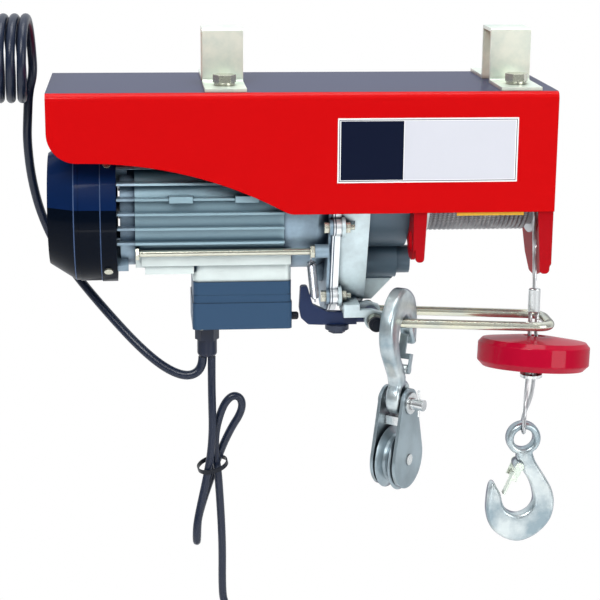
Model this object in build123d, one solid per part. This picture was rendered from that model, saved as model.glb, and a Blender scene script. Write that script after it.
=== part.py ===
from build123d import *
import os
from math import acos, asin, atan2, cos, degrees, pi, radians, sin, sqrt

# An electric rope hoist that hangs by two straps under a flat bar. Millimetres.
# The origin is the centre of the bar's seat on the top plate. X runs along the hoist
# towards the rope's end, Y away from the front, Z up.

# The folded cover
FRAME_LEFT = -274
FRAME_LENGTH = 430
FRAME_DEPTH = 150
SHEET = 3
BEND = 6
FRONT_DROP = 103
TAIL_DROP = 58
TAIL_FLAT_END = -243.3
TAIL_CORNER = 25
CURVE_OUT = 350
CURVE_IN = 18
FRAME_RIGHT = FRAME_LEFT + FRAME_LENGTH
INSIDE = FRAME_DEPTH / 2 - SHEET

# The bar that the hoist hangs on, and its straps
BAR_DEPTH = 30
BAR_HEIGHT = 44
BAR_PLAY = 0.4
STRAP_WIDTH = 35
STRAP_SHEET = 3
STRAP_X = 125
STRAP_FOOT = 69
BOLT_Y = 45
BOLT_R = 5
BOLT_PLAY = 0.5
HEX_10 = 17
HEAD_10 = 6.5
WASHER_R = 9
WASHER_T = 2.5
NUT_10 = 8

# The motor
MOTOR_Z = -110
FAN_LEFT = -276.2
FAN_CONE = -253.4
FAN_STEP = -231
FAN_RIGHT = -217.6
FAN_R = 64.8
FAN_END_R = 48.5
FAN_WALL = 1.6
REAR_BELL_RIGHT = -202
STATOR_RIGHT = -75
BODY_HALF_Y = INSIDE - 14
BODY_HALF_Z = 50
BODY_CORNER = 42
FIN_HALF_Y = INSIDE - 8
FIN_PITCH = 12.65
FIN_FIRST_Z = -129.4
FIN_COUNT = 6
FIN_T = 2
CORE_R = 47
ROTOR_R = 28
AIR_GAP = 0.5
BELL_R = 55
FLANGE_LEFT = -36.4
FLANGE_MID = -33.6
CASE_LEFT = -26.1
CASE_RIGHT = -1
MOTOR_SHAFT_R = 6
BEARING_R = 16
BEARING_W = 10
RUN = 0.05
TIE_R = 3
TIE_Y = INSIDE - 15
TIE_LOW = 29
TIE_TOP_Y = 37
TIE_HIGH = 48.4
TIE_LUG = 11.9

# The terminal box under the motor
BOX_LEFT = -152.6
BOX_RIGHT = -67.2
BOX_FRONT = -45
BOX_DEPTH = 62
NECK_TOP = -152
BOX_TOP = NECK_TOP - 16.3
BOX_SEAM = BOX_TOP - 11.7
BOX_BOTTOM = BOX_SEAM - 30.7
BOX_WALL = 2.5
GLAND_X = -140
GLAND_Y = -20
GLAND_R = 9.3
GLAND_LENGTH = 31

# The gears
DRUM_Z = -93
MODULE_1 = 1.25
TEETH_1 = (16, 64)
MODULE_2 = 2
TEETH_2 = (10, 57)
BACKLASH = 0.3
COUNTER_Z = DRUM_Z - MODULE_2 * sum(TEETH_2) / 2
COUNTER_R = 6
LUG_T = 3
BOSS_R = 54
BOSS_2_R = 16
BOSS_2_RIGHT = 29.8
BOSS_3_R = 12.5
BOSS_3_RIGHT = 42
WEB_SCREW_R = 3
OUTPUT_R = 10

# The drum and its bearing plates
WEB_LEFT = 35
WEB_RIGHT = FRAME_RIGHT - SHEET
LEFT_FLANGE = 11.5
RIGHT_FLANGE = 13.2
TONGUE_DROP = 171.5
DRUM_LEFT = 52
DRUM_RIGHT = 152.4
DRUM_FLANGE_R = 43
DRUM_FLANGE_T = 2.4
DRUM_CORE_R = 26
ROPE_R = 2
ROPE_FALL_R = 38
ROPE_X = 146.6
ROPE_Y = -ROPE_FALL_R
END_SHAFT_R = 7.5
CUP_DEPTH = 9
ANCHOR_R = 8.5
ANCHOR_Y = -56
ANCHOR_Z = -131

# The limit lever and its bail
PIVOT_X = 5
PIVOT_Z = -202.5
PIVOT_R = 4
SLEEVE_R = 7
BAIL_R = 4.1
BAIL_Y = ROPE_Y
BAIL_HALF = 22.4
BAIL_RIGHT = 167
BAIL_FALL = 7.5
LEVER_T = 8
LEVER_Y = ROPE_Y
PLUNGER_Z = BOX_BOTTOM + 9.7
PLUNGER_R = 3.5

# The load line
LINE_X = 150.6
FERRULE_TOP = -180
FERRULE_LENGTH = 22
WEIGHT_Z = -240.5
WEIGHT_X = LINE_X + 1.2
WEIGHT_R = 50
WEIGHT_RIM = 25
WEIGHT_TILT = (-10, 3.7, 0)
WEIGHT_BORE = 10
COLLAR_R = 10
HOOK_X = 145.6
HOOK_Z = -319.8
HOOK_TILT = -1.5

# Both hooks have this shape, in a plane of their own with the eye's centre at its origin
EYE_R = 15.7
EYE_HOLE_R = 9.2
HOOK_T = 13
HOOK_EDGE = 2.2
BOWL = (-4.7, -59.2)
BOWL_R = 14
LATCH_PIN = (-4.6, -25)
LATCH_END = (-17.7, -53)

# The pulley block that hangs on the bail
BLOCK_X = 26
BLOCK_TURN = 60
BLOCK_TILT = -4.4
PLATES_TURN = 53
BOWL_PLAY = 1.75
PLATE_T = 3
PLATE_GAP = 19
PLATE_TOP_R = 13
PLATE_LOW_R = 26
AXLE_DROP = 52.5
CLEVIS_R = 5
SHEAVE_R = 28
SHEAVE_T = 16
AXLE_R = 5

# Cords
MAINS_R = 4
COIL_MEAN_R = 34.4
COIL_Z = 20.9
COIL_FIRST_X = -289
COIL_PITCH = 9.4
COIL_TURNS = 6
PENDANT_CORD_R = 3.6
HANK_TOP = (-127.5, -20, -492)
HANK_R = 39
HANK_HALF = 11
PENDANT_TOP = -606
PENDANT_SIZE = (54, 40, 138)


def block(x0, x1, y0, y1, z0, z1):
    return Pos((x0 + x1) / 2, (y0 + y1) / 2, (z0 + z1) / 2) * Box(x1 - x0, y1 - y0, z1 - z0)


def bar_x(radius, x0, x1, y, z):
    return Pos((x0 + x1) / 2, y, z) * Rot(0, 90, 0) * Cylinder(radius, x1 - x0)


def bar_y(radius, y0, y1, x, z):
    return Pos(x, (y0 + y1) / 2, z) * Rot(90, 0, 0) * Cylinder(radius, y1 - y0)


def bar_z(radius, z0, z1, x, y):
    return Pos(x, y, (z0 + z1) / 2) * Cylinder(radius, z1 - z0)


def tube_x(outer, inner, x0, x1, y, z):
    return bar_x(outer, x0, x1, y, z) - bar_x(inner, x0 - 1, x1 + 1, y, z)


def group(*shapes):
    """Several separate solids as one file."""
    return Compound([solid for shape in shapes for solid in shape.solids()])


def outline(points, rounding=0, corners=None):
    """A flat face from corner points, with the corners that are named rounded off."""
    face = make_face(Polyline(*points, close=True))
    if rounding:
        picked = [v for v in face.vertices() if corners is None or any(
            abs(v.X - points[i][0]) + abs(v.Y - points[i][1]) < 0.01 for i in corners)]
        face = fillet(picked, rounding)
    return face


def prism_x(face, x0, x1):
    """Extrudes a face whose sides are Y and Z."""
    return extrude(Plane.YZ.offset(x0) * face, x1 - x0)


def prism_y(face, y0, y1):
    """Extrudes a face whose sides are X and Z."""
    return extrude(Plane.XZ.offset(-y1) * face, y1 - y0)


def turned(points, z, y=0):
    """Turns a profile of X and radius points about a line along X."""
    face = Plane.XZ * make_face(Polyline(*points, close=True))
    return Pos(0, y, z) * revolve(face, Axis.X)


def hex_bar_z(across, z0, z1, x, y):
    face = RegularPolygon(across / 2, 6, major_radius=False)
    return Pos(x, y, z0) * extrude(face, z1 - z0)


def hex_bar_x(across, x0, x1, y, z):
    face = RegularPolygon(across / 2, 6, major_radius=False)
    return extrude(Plane.YZ.offset(x0) * Pos(y, z) * face, x1 - x0)


def rounded(length_x, length_y, radius):
    return RectangleRounded(length_x, length_y, radius)


def side_profile():
    """The cover's side plate: a tail that sweeps down to the drum end."""
    turn = acos(1 - (FRONT_DROP - TAIL_DROP) / (CURVE_OUT + CURVE_IN))
    bend = (TAIL_FLAT_END + CURVE_OUT * sin(turn), -TAIL_DROP - CURVE_OUT * (1 - cos(turn)))
    low = (bend[0] + CURVE_IN * sin(turn), -FRONT_DROP)
    corner = (FRAME_LEFT, -TAIL_DROP + TAIL_CORNER)
    after = (FRAME_LEFT + TAIL_CORNER, -TAIL_DROP)
    lines = [
        Line((FRAME_LEFT, 0), corner),
        TangentArc(corner, after, tangent=(0, -1)),
        Line(after, (TAIL_FLAT_END, -TAIL_DROP)),
        TangentArc((TAIL_FLAT_END, -TAIL_DROP), bend, tangent=(1, 0)),
        TangentArc(bend, low, tangent=(cos(turn), -sin(turn))),
        Line(low, (FRAME_RIGHT, -FRONT_DROP)),
        Line((FRAME_RIGHT, -FRONT_DROP), (FRAME_RIGHT, 0)),
        Line((FRAME_RIGHT, 0), (FRAME_LEFT, 0)),
    ]
    return make_face(Curve() + lines)


def bolt_places():
    return [(sx * STRAP_X, sy * BOLT_Y) for sx in (-1, 1) for sy in (-1, 1)]


def cover_shell():
    drop = FRONT_DROP + 10
    half = FRAME_DEPTH / 2
    outer = outline([(-half, -drop), (-half, 0), (half, 0), (half, -drop)], BEND, (1, 2))
    inner = outline([(-INSIDE, -drop - 1), (-INSIDE, -SHEET), (INSIDE, -SHEET), (INSIDE, -drop - 1)],
                    BEND - SHEET, (1, 2))
    shell = prism_x(outer - inner, FRAME_LEFT, FRAME_RIGHT) & prism_y(side_profile(), -half, half)
    for x, y in bolt_places():
        shell -= bar_z(BOLT_R + BOLT_PLAY, -SHEET - 1, 1, x, y)
    return shell


def clamp_strap(x):
    """A strap over the bar with a foot on each side."""
    inner = BAR_DEPTH / 2 + BAR_PLAY
    outer = inner + STRAP_SHEET
    top = BAR_HEIGHT + BAR_PLAY
    half = [(inner, 0), (inner, top), (outer, top + STRAP_SHEET), (outer, STRAP_SHEET),
            (STRAP_FOOT, STRAP_SHEET), (STRAP_FOOT, 0)]
    points = [half[0], half[1], (-inner, top), (-inner, 0), (-STRAP_FOOT, 0), (-STRAP_FOOT, STRAP_SHEET),
              (-outer, STRAP_SHEET), (-outer, top + STRAP_SHEET), half[2], half[3], half[4], half[5]]
    strap = prism_x(outline(points, 2, (6, 7, 8, 9)), x - STRAP_WIDTH / 2, x + STRAP_WIDTH / 2)
    for side in (-1, 1):
        strap -= bar_z(BOLT_R + BOLT_PLAY, -1, STRAP_SHEET + 1, x, side * BOLT_Y)
    return strap


def clamp_bolts():
    """Hexagon bolts with spring washers on the straps' feet and nuts under the top plate."""
    bolts = []
    for x, y in bolt_places():
        seat = STRAP_SHEET
        washer = bar_z(WASHER_R, seat, seat + WASHER_T, x, y)
        head = hex_bar_z(HEX_10, seat + WASHER_T, seat + WASHER_T + HEAD_10, x, y)
        shank = bar_z(BOLT_R, -SHEET - NUT_10 - 4, seat + WASHER_T, x, y)
        nut = hex_bar_z(HEX_10, -SHEET - NUT_10, -SHEET, x, y)
        bolts.append(washer + head + shank + nut)
    return Compound(bolts)


def front_leg(x0, x1, tip_x, tip_z):
    """The flange behind the cover's front plate, which runs down into the leg."""
    narrow = (x1 - x0) * 0.62
    points = [(x0, -12), (x1, -12), (x1, -FRONT_DROP), (tip_x + narrow / 2, tip_z), (tip_x - narrow / 2, tip_z),
              (x0, -FRONT_DROP)]
    return prism_y(outline(points, narrow * 0.45, (3, 4)), -INSIDE, -INSIDE + SHEET)


def rear_flange(x0, x1):
    return block(x0, x1, INSIDE - SHEET, INSIDE, -80, -12)


def end_plate_right():
    """The bearing plate at the rope's end, with its deep rounded tongue."""
    points = [(-INSIDE, -SHEET), (INSIDE, -SHEET), (INSIDE, -88), (44, -112), (30, -140), (17, -158),
              (-2, -TONGUE_DROP), (-20, -TONGUE_DROP), (-60, -158), (-INSIDE, -150)]
    web = prism_x(outline(points, 7, (0, 1, 3, 4, 5, 6, 7, 8)), WEB_RIGHT, FRAME_RIGHT)
    cup = bar_x(BEARING_R + 3, FRAME_RIGHT, FRAME_RIGHT + CUP_DEPTH - SHEET + 2, 0, DRUM_Z)
    plate = web + cup
    plate -= bar_x(BEARING_R + 0.02, WEB_RIGHT - 1, WEB_RIGHT + CUP_DEPTH, 0, DRUM_Z)
    plate += front_leg(FRAME_RIGHT - RIGHT_FLANGE, FRAME_RIGHT, FRAME_RIGHT - 5.6, -158.5)
    plate += rear_flange(FRAME_RIGHT - RIGHT_FLANGE, FRAME_RIGHT)
    return plate


def drum_plate_left():
    """The plate between the gearbox and the drum, with the anchor hole in its leg."""
    web_right = WEB_LEFT + SHEET
    points = [(-INSIDE, -SHEET), (INSIDE, -SHEET), (INSIDE, -84), (52, -103), (-22, -103), (-32, -130),
              (-47, -147), (-62, -147), (-INSIDE, -136)]
    plate = prism_x(outline(points, 6, (0, 1, 3, 5, 6, 7)), WEB_LEFT, web_right)
    plate += front_leg(WEB_LEFT, WEB_LEFT + LEFT_FLANGE, WEB_LEFT + 6, -147)
    plate += rear_flange(WEB_LEFT, WEB_LEFT + LEFT_FLANGE)
    plate -= bar_x(OUTPUT_R + 3, WEB_LEFT - 1, web_right + 1, 0, DRUM_Z)
    plate -= bar_x(ANCHOR_R, WEB_LEFT - 1, web_right + 1, ANCHOR_Y, ANCHOR_Z)
    for y, z in web_screw_places():
        plate -= bar_x(WEB_SCREW_R + 0.3, WEB_LEFT - 1, web_right + 1, y, z)
    return plate


def rope_guard():
    """A strip behind the front plate that keeps the rope on the drum."""
    return block(72, 130, -INSIDE, -INSIDE + 1.5, -FRONT_DROP - 3.2, -84)


def fan_cover():
    """A stepped steel hood with a slotted end."""
    w = FAN_WALL
    profile = [(FAN_LEFT, 0), (FAN_LEFT, FAN_END_R), (FAN_CONE, FAN_R - 1.6), (FAN_CONE + 4, FAN_R - 1.6),
               (FAN_CONE + 4, FAN_R - 0.8), (FAN_STEP, FAN_R - 0.8), (FAN_STEP, FAN_R), (FAN_RIGHT, FAN_R),
               (FAN_RIGHT, FAN_R - w), (FAN_STEP + w, FAN_R - w), (FAN_CONE, FAN_R - 1.6 - w),
               (FAN_LEFT + w, FAN_END_R - w), (FAN_LEFT + w, 0)]
    hood = turned(profile, MOTOR_Z)
    slot = prism_x(Pos(0, 27) * SlotOverall(34, 5, rotation=90), FAN_LEFT - 1, FAN_LEFT + w + 1)
    for i in range(12):
        hood -= Pos(0, 0, MOTOR_Z) * Rot(30 * i, 0, 0) * slot
    for angle in screw_angles():
        hood -= fan_screw_place(angle) * Cylinder(2.1, 12)
    return hood


def screw_angles():
    return [45, 135, 225, 315]


def fan_screw_place(angle):
    return Pos(FAN_RIGHT - 7.5, 0, MOTOR_Z) * Rot(angle, 0, 0) * Pos(0, 0, FAN_R)


def fan_cover_screws():
    screws = []
    for angle in screw_angles():
        head = Pos(0, 0, 1) * Cylinder(3.8, 2)
        shank = Pos(0, 0, -4) * Cylinder(2, 8)
        screws.append(fan_screw_place(angle) * (head + shank))
    return Compound(screws)


def fan():
    """The cooling fan on the rotor's rear end."""
    x0, x1 = FAN_CONE + 2, FAN_CONE + 22
    wheel = bar_x(13, x0, x1, 0, MOTOR_Z) + bar_x(54, x1 - 2, x1, 0, MOTOR_Z)
    blade = block(x0 + 2, x1, -1, 1, 10, 53)
    for i in range(9):
        wheel += Pos(0, 0, MOTOR_Z) * Rot(40 * i, 0, 0) * blade
    return wheel - bar_x(MOTOR_SHAFT_R + 0.02, x0 - 1, x1 + 1, 0, MOTOR_Z)


def body_face(grow=0.0):
    face = rounded(2 * (BODY_HALF_Y + grow), 2 * (BODY_HALF_Z + grow), BODY_CORNER + grow)
    return Pos(0, MOTOR_Z) * face


def fin_face(half_y):
    """The horizontal fins inside the motor's outer outline."""
    fins = Sketch()
    for i in range(FIN_COUNT):
        z = FIN_FIRST_Z + i * FIN_PITCH
        fins += Pos(0, z) * Rectangle(2 * half_y, FIN_T)
    outer = Pos(0, MOTOR_Z) * rounded(2 * FIN_HALF_Y, 2 * (BODY_HALF_Z + 6), BODY_CORNER)
    return fins & outer


def rear_bell():
    """The ventilated rear bell that carries the fan cover and the rear bearing."""
    x0, x1 = FAN_RIGHT - 3, REAR_BELL_RIGHT
    ring = prism_x(body_face(-3) - body_face(-8), x0 + 6, x1)
    fins = prism_x(fin_face(FIN_HALF_Y - 1) - body_face(-6), FAN_RIGHT + 0.3, x1)
    spokes = block(x1 - 6, x1, -BODY_HALF_Y + 6, BODY_HALF_Y - 6, MOTOR_Z - 7, MOTOR_Z + 7)
    spokes += block(x1 - 6, x1, -7, 7, MOTOR_Z - BODY_HALF_Z + 6, MOTOR_Z + BODY_HALF_Z - 6)
    boss = bar_x(BEARING_R + 4, x1 - BEARING_W - 2, x1, 0, MOTOR_Z)
    bell = ring + fins + spokes + boss
    for angle in screw_angles():
        arm = Pos(0, 0, FAN_R - FAN_WALL - 10) * Box(12, 9, 20)
        post = Pos(FAN_RIGHT - 4, 0, MOTOR_Z) * Rot(angle, 0, 0) * arm
        bell += post + Pos(7.5, 0, 0) * post
    bell -= bar_x(BEARING_R + 0.02, x1 - BEARING_W, x1 + 1, 0, MOTOR_Z)
    bell -= bar_x(MOTOR_SHAFT_R + 2, x1 - 20, x1, 0, MOTOR_Z)
    for angle in screw_angles():
        bell -= fan_screw_place(angle) * Cylinder(2.02, 20)
    hood = [(FAN_LEFT, 0), (FAN_LEFT, FAN_R + 9), (FAN_RIGHT, FAN_R + 9), (FAN_RIGHT, FAN_R - FAN_WALL),
            (FAN_LEFT + 1, FAN_R - FAN_WALL), (FAN_LEFT + 1, 0)]
    return bell - turned(hood, MOTOR_Z)


def stator_housing():
    """The cast housing: shallow fins on both sides and a pad with a neck for the terminal box."""
    x0, x1 = REAR_BELL_RIGHT, STATOR_RIGHT
    body = prism_x(body_face() + fin_face(FIN_HALF_Y), x0, x1)
    for x in (-163, -107):
        for side in (-1, 1):
            pad = Pos(x, side * (FIN_HALF_Y - 6.5), FIN_FIRST_Z + 3 * FIN_PITCH) * Box(20, 15, 5.4)
            body += pad
    pad = block(x0 + 5, x1 + 6.8, -50, 50, NECK_TOP, NECK_TOP + 11)
    step = block(x0 + 8, x0 + 50, -46, 46, NECK_TOP - 8, NECK_TOP)
    neck = block(BOX_LEFT, BOX_RIGHT, BOX_FRONT + 2, BOX_FRONT + BOX_DEPTH - 2, BOX_TOP, NECK_TOP)
    neck = fillet(neck.edges().filter_by(Axis.Z), 6)
    body = body + pad + step + neck
    for y, z in tie_places():
        if z > MOTOR_Z:
            body += bar_x(6.5, x0 + 3.2, x0 + 11, y, z)
        body -= bar_x(TIE_R + 0.5, x0 - 1, x1 + 20, y, z)
        body -= bar_x(6.2, x0 - 1, x0 + 3.2, y, z)
    return body - bar_x(CORE_R + 0.02, x0 - 1, x1 + 1, 0, MOTOR_Z)


def stator_core():
    core = tube_x(CORE_R, ROTOR_R + AIR_GAP, -180, -100, 0, MOTOR_Z)
    for i in range(24):
        slot = block(-181, -99, -2.5, 2.5, ROTOR_R + 1, ROTOR_R + 10)
        core -= Pos(0, 0, MOTOR_Z) * Rot(15 * i, 0, 0) * slot
    return core


def windings():
    """The copper end turns on both sides of the core."""
    turns = [tube_x(CORE_R - 2, ROTOR_R + 4, a, b, 0, MOTOR_Z) for a, b in ((-192, -180), (-100, -88))]
    return Compound(turns)


def rotor():
    """The rotor with its shaft, and the first pinion cut on the shaft's end."""
    shaft = bar_x(MOTOR_SHAFT_R, FAN_CONE + 1, FLANGE_MID + 0.6, 0, MOTOR_Z)
    cage = bar_x(ROTOR_R, -181, -99, 0, MOTOR_Z)
    rings = bar_x(ROTOR_R - 2, -187, -93, 0, MOTOR_Z)
    pinion = gear(MODULE_1, TEETH_1[0], FLANGE_MID + 0.6, CASE_LEFT - 0.6, 90 - 180 / TEETH_1[0])
    return shaft + cage + rings + Pos(0, 0, MOTOR_Z) * pinion


def motor_bearings():
    places = [(REAR_BELL_RIGHT - BEARING_W, REAR_BELL_RIGHT), (FLANGE_LEFT - BEARING_W, FLANGE_LEFT)]
    return Compound([tube_x(BEARING_R, MOTOR_SHAFT_R + RUN, a, b, 0, MOTOR_Z) for a, b in places])


def tie_places():
    return [(sy * y, MOTOR_Z + z) for sy in (-1, 1) for y, z in ((TIE_Y, -TIE_LOW), (TIE_TOP_Y, TIE_HIGH))]


def case_face(upper, lower):
    """Two circles and their tangents: round the drum's axis and round the countershaft."""
    rings = Pos(0, DRUM_Z) * Circle(upper) + Pos(0, COUNTER_Z) * Circle(lower)
    return make_hull(rings.edges())


def case_lugs(x0, x1, radius):
    return [bar_x(radius, x0, x1, y, z) for y, z in case_bolt_places()]


def case_bolt_places():
    return [(sy * y, z) for sy in (-1, 1) for y, z in ((INSIDE - 10, -117), (40.3, -183.2), (47.5, -43.5))]


def front_bell():
    """The front bell, its tie-rod lugs and the flange that closes the first gear stage."""
    profile = [(STATOR_RIGHT, 0), (STATOR_RIGHT, BELL_R), (STATOR_RIGHT + 30, BELL_R), (FLANGE_LEFT, BELL_R - 4),
               (FLANGE_LEFT, 0)]
    bell = turned(profile, MOTOR_Z) & prism_x(body_face(2), STATOR_RIGHT, FLANGE_LEFT)
    bell += prism_x(case_face(62, 45), FLANGE_LEFT, FLANGE_MID)
    hollow = [(STATOR_RIGHT - 1, 0), (STATOR_RIGHT - 1, CORE_R), (STATOR_RIGHT + 28, CORE_R),
              (STATOR_RIGHT + 31, 0)]
    bell -= turned(hollow, MOTOR_Z)
    bell -= block(STATOR_RIGHT - 1, BOX_RIGHT + 0.5, -50.5, 50.5, BOX_TOP - 5, -140.5)
    for y, z in tie_places():
        bell += bar_x(6, FLANGE_LEFT - TIE_LUG, FLANGE_LEFT, y, z)
    bell += bar_x(BEARING_R + 3, FLANGE_LEFT - 7, FLANGE_LEFT, 0, COUNTER_Z)
    for lug in case_lugs(FLANGE_LEFT, FLANGE_MID, 7):
        bell += lug
    for y, z in tie_places():
        bell -= bar_x(TIE_R + 0.02, STATOR_RIGHT - 1, FLANGE_LEFT - 2, y, z)
    for y, z in case_bolt_places():
        bell -= bar_x(2.6, FLANGE_LEFT - 1, FLANGE_MID + 1, y, z)
    bell -= bar_x(BEARING_R + 0.02, FLANGE_LEFT - BEARING_W, FLANGE_LEFT, 0, MOTOR_Z)
    bell -= bar_x(MOTOR_SHAFT_R + 2, FLANGE_LEFT - 12, FLANGE_MID + 1, 0, MOTOR_Z)
    bell -= bar_x(COUNTER_R + 5, FLANGE_LEFT - 5, FLANGE_MID + 1, 0, COUNTER_Z)
    return bell


def tie_rods():
    """Four long screws that pull the motor together."""
    rods = []
    for y, z in tie_places():
        lug = FLANGE_LEFT - TIE_LUG
        rod = bar_x(TIE_R, REAR_BELL_RIGHT + 3, lug + 6, y, z)
        head = hex_bar_x(10, REAR_BELL_RIGHT + 0.2, REAR_BELL_RIGHT + 3, y, z)
        nut = hex_bar_x(10, lug - 4, lug, y, z)
        rods.append(rod + head + nut)
    return Compound(rods)


def gear_flange():
    """The middle plate of the gearbox, hollow round the first stage."""
    ring = prism_x(case_face(63.5, 46), FLANGE_MID, CASE_LEFT)
    for lug in case_lugs(FLANGE_MID, CASE_LEFT, 7.5):
        ring += lug
    ring -= prism_x(case_face(59.8, 42.4), FLANGE_MID + 7 - 0.1, CASE_LEFT + 1)
    ring -= bar_x(42.4, FLANGE_MID - 1, CASE_LEFT + 1, 0, COUNTER_Z)
    ring -= bar_x(MODULE_1 * TEETH_1[0] / 2 + 2.4, FLANGE_MID - 1, CASE_LEFT + 1, 0, MOTOR_Z)
    for y, z in case_bolt_places():
        ring -= bar_x(2.6, FLANGE_MID - 1, CASE_LEFT + 1, y, z)
    return ring


def gearbox_case():
    """The second stage's casing: the drum boss, the countershaft boss with its cap end, ribs and the lever arm."""
    case = prism_x(case_face(62, 38), CASE_LEFT, CASE_RIGHT)
    case += bar_x(BOSS_R, CASE_RIGHT, WEB_LEFT, 0, DRUM_Z)
    case += bar_x(BOSS_2_R, CASE_RIGHT, BOSS_2_RIGHT, 0, COUNTER_Z)
    case += bar_x(BOSS_3_R, BOSS_2_RIGHT, BOSS_3_RIGHT, 0, COUNTER_Z)
    rib = outline([(CASE_RIGHT - 1, -174), (BOSS_2_RIGHT, -174), (CASE_RIGHT + 10, -196), (CASE_RIGHT - 1, -196)])
    case += prism_y(rib, -3, 3)
    for lug in case_lugs(CASE_LEFT, CASE_LEFT + LUG_T, 9):
        case += lug
    case -= prism_x(case_face(59.8, 42.4 - 7), CASE_LEFT - 1, CASE_RIGHT - 3)
    for y, z in case_bolt_places():
        case -= bar_x(2.6, CASE_LEFT - 1, CASE_LEFT + LUG_T + 1, y, z)
        case -= bar_x(5.7, CASE_LEFT + LUG_T, CASE_LEFT + LUG_T + 9, y, z)
    for y, z in web_screw_places():
        case -= bar_x(WEB_SCREW_R + 0.02, WEB_LEFT - 13, WEB_LEFT + 1, y, z)
    case -= bar_x(BEARING_R + 0.02, WEB_LEFT - BEARING_W - 2, WEB_LEFT - 2, 0, DRUM_Z)
    case -= bar_x(OUTPUT_R + 2, CASE_RIGHT - 4, WEB_LEFT + 1, 0, DRUM_Z)
    case -= bar_x(COUNTER_R + 5, CASE_RIGHT - 4, BOSS_3_RIGHT - 3, 0, COUNTER_Z)
    return case + lever_arm()


def lever_arm():
    """The cast fork under the gearbox that carries the bail's pivot pin."""
    arms = []
    for y in (BAIL_Y - BAIL_HALF + 9, BAIL_Y + BAIL_HALF - 9):
        points = [(-22, -193), (PIVOT_X - 2, -193), (PIVOT_X + 8.5, -196), (PIVOT_X + 8.5, -205),
                  (PIVOT_X - 8.5, -205), (PIVOT_X - 8.5, -199.5), (-22, -199.5)]
        arm = prism_y(outline(points, 2.5, (2, 3, 4)), y - 3.5, y + 3.5)
        arm += bar_y(8.5, y - 3.5, y + 3.5, PIVOT_X, PIVOT_Z)
        arms.append(arm - bar_y(PIVOT_R + 0.02, y - 5, y + 5, PIVOT_X, PIVOT_Z))
    stem = block(-22, -8, BAIL_Y - BAIL_HALF + 5.5, 0, -197.4, -188)
    return arms[0] + arms[1] + stem


def web_screw_places():
    return [(sy * 32.5, DRUM_Z + sz * 32.5) for sy in (-1, 1) for sz in (-1, 1)]


def gearbox_bolts():
    """Bolts round the gearbox's joints, and four screws through the drum plate into its boss."""
    bolts = []
    for y, z in web_screw_places():
        screw = bar_x(WEB_SCREW_R, WEB_LEFT - 12, WEB_LEFT + SHEET, y, z)
        bolts.append(screw + hex_bar_x(10, WEB_LEFT + SHEET, WEB_LEFT + SHEET + 4, y, z))
    for y, z in case_bolt_places():
        shank = bar_x(2.5, FLANGE_LEFT - 1, CASE_LEFT + LUG_T + 8.5, y, z)
        head = hex_bar_x(9, CASE_LEFT + LUG_T, CASE_LEFT + LUG_T + 4.5, y, z)
        nut = hex_bar_x(9, FLANGE_LEFT - 4.5, FLANGE_LEFT, y, z)
        bolts.append(shank + head + nut)
    return Compound(bolts)


def involute(angle):
    return sqrt(max(angle * angle - 1, 0)) - acos(1 / max(angle, 1))


def gear(module, teeth, x0, x1, phase=0.0, steps=3):
    """A spur gear about X, with involute flanks and half the backlash taken off each tooth."""
    pitch = module * teeth / 2
    base = pitch * cos(radians(20))
    tip = pitch + 0.9 * module
    root = pitch - 1.25 * module
    half = pi / (2 * teeth) - BACKLASH / (2 * pitch) / 2 + involute(pitch / base)
    start = max(base, root + 0.1 * module)
    flank = []
    for i in range(steps):
        r = start + (tip - start) * i / (steps - 1)
        flank.append((r, half - involute(r / base)))
    points = []
    for k in range(teeth):
        middle = 2 * pi * k / teeth + radians(phase)
        tooth = [(root, -flank[0][1])] + [(r, -a) for r, a in flank]
        tooth += [(r, a) for r, a in reversed(flank)] + [(root, flank[0][1])]
        points += [(r * cos(middle + a), r * sin(middle + a)) for r, a in tooth]
    return prism_x(make_face(Polyline(*points, close=True)), x0, x1)


def counter_gear():
    """The countershaft: the large first-stage gear and the second pinion on one shaft."""
    wheel = gear(MODULE_1, TEETH_1[1], FLANGE_MID + 1, CASE_LEFT - 1, 90 - 90, 2)
    for i in range(6):
        wheel -= Rot(60 * i, 0, 0) * bar_x(7, FLANGE_MID - 1, CASE_LEFT + 1, 0, 24)
    pinion = gear(MODULE_2, TEETH_2[0], CASE_LEFT - 1, CASE_RIGHT - 4, 90)
    shaft = bar_x(COUNTER_R, FLANGE_LEFT - 4, BOSS_2_RIGHT + 8, 0, 0)
    return Pos(0, 0, COUNTER_Z) * (wheel + pinion + shaft)


def gear_bearings():
    """The countershaft's two bronze bushes."""
    places = [(FLANGE_LEFT - 5, FLANGE_MID), (BOSS_2_RIGHT, BOSS_2_RIGHT + 8)]
    return Compound([tube_x(COUNTER_R + 4.98, COUNTER_R + RUN, a, b, 0, COUNTER_Z) for a, b in places])


def output_gear():
    """The drum's gear with its shaft, which runs through the drum into the end plate."""
    wheel = gear(MODULE_2, TEETH_2[1], CASE_LEFT + 2.5, CASE_RIGHT - 4.5, -90 - 180 / TEETH_2[1], 2)
    wheel -= tube_x(48, 22, CASE_LEFT, CASE_LEFT + 6, 0, 0)
    wheel -= tube_x(48, 22, CASE_RIGHT - 8, CASE_RIGHT, 0, 0)
    shaft = bar_x(OUTPUT_R, CASE_LEFT + 2.5, DRUM_RIGHT + 0.3, 0, 0)
    end = bar_x(END_SHAFT_R, DRUM_RIGHT, WEB_RIGHT + CUP_DEPTH - 0.5, 0, 0)
    return Pos(0, 0, DRUM_Z) * (wheel + shaft + end)


def drum_bearings():
    left = tube_x(BEARING_R, OUTPUT_R + RUN, WEB_LEFT - BEARING_W - 2, WEB_LEFT - 2, 0, DRUM_Z)
    right = tube_x(BEARING_R, END_SHAFT_R + RUN, WEB_RIGHT + 0.6, WEB_RIGHT + CUP_DEPTH, 0, DRUM_Z)
    return Compound([left, right])


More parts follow.
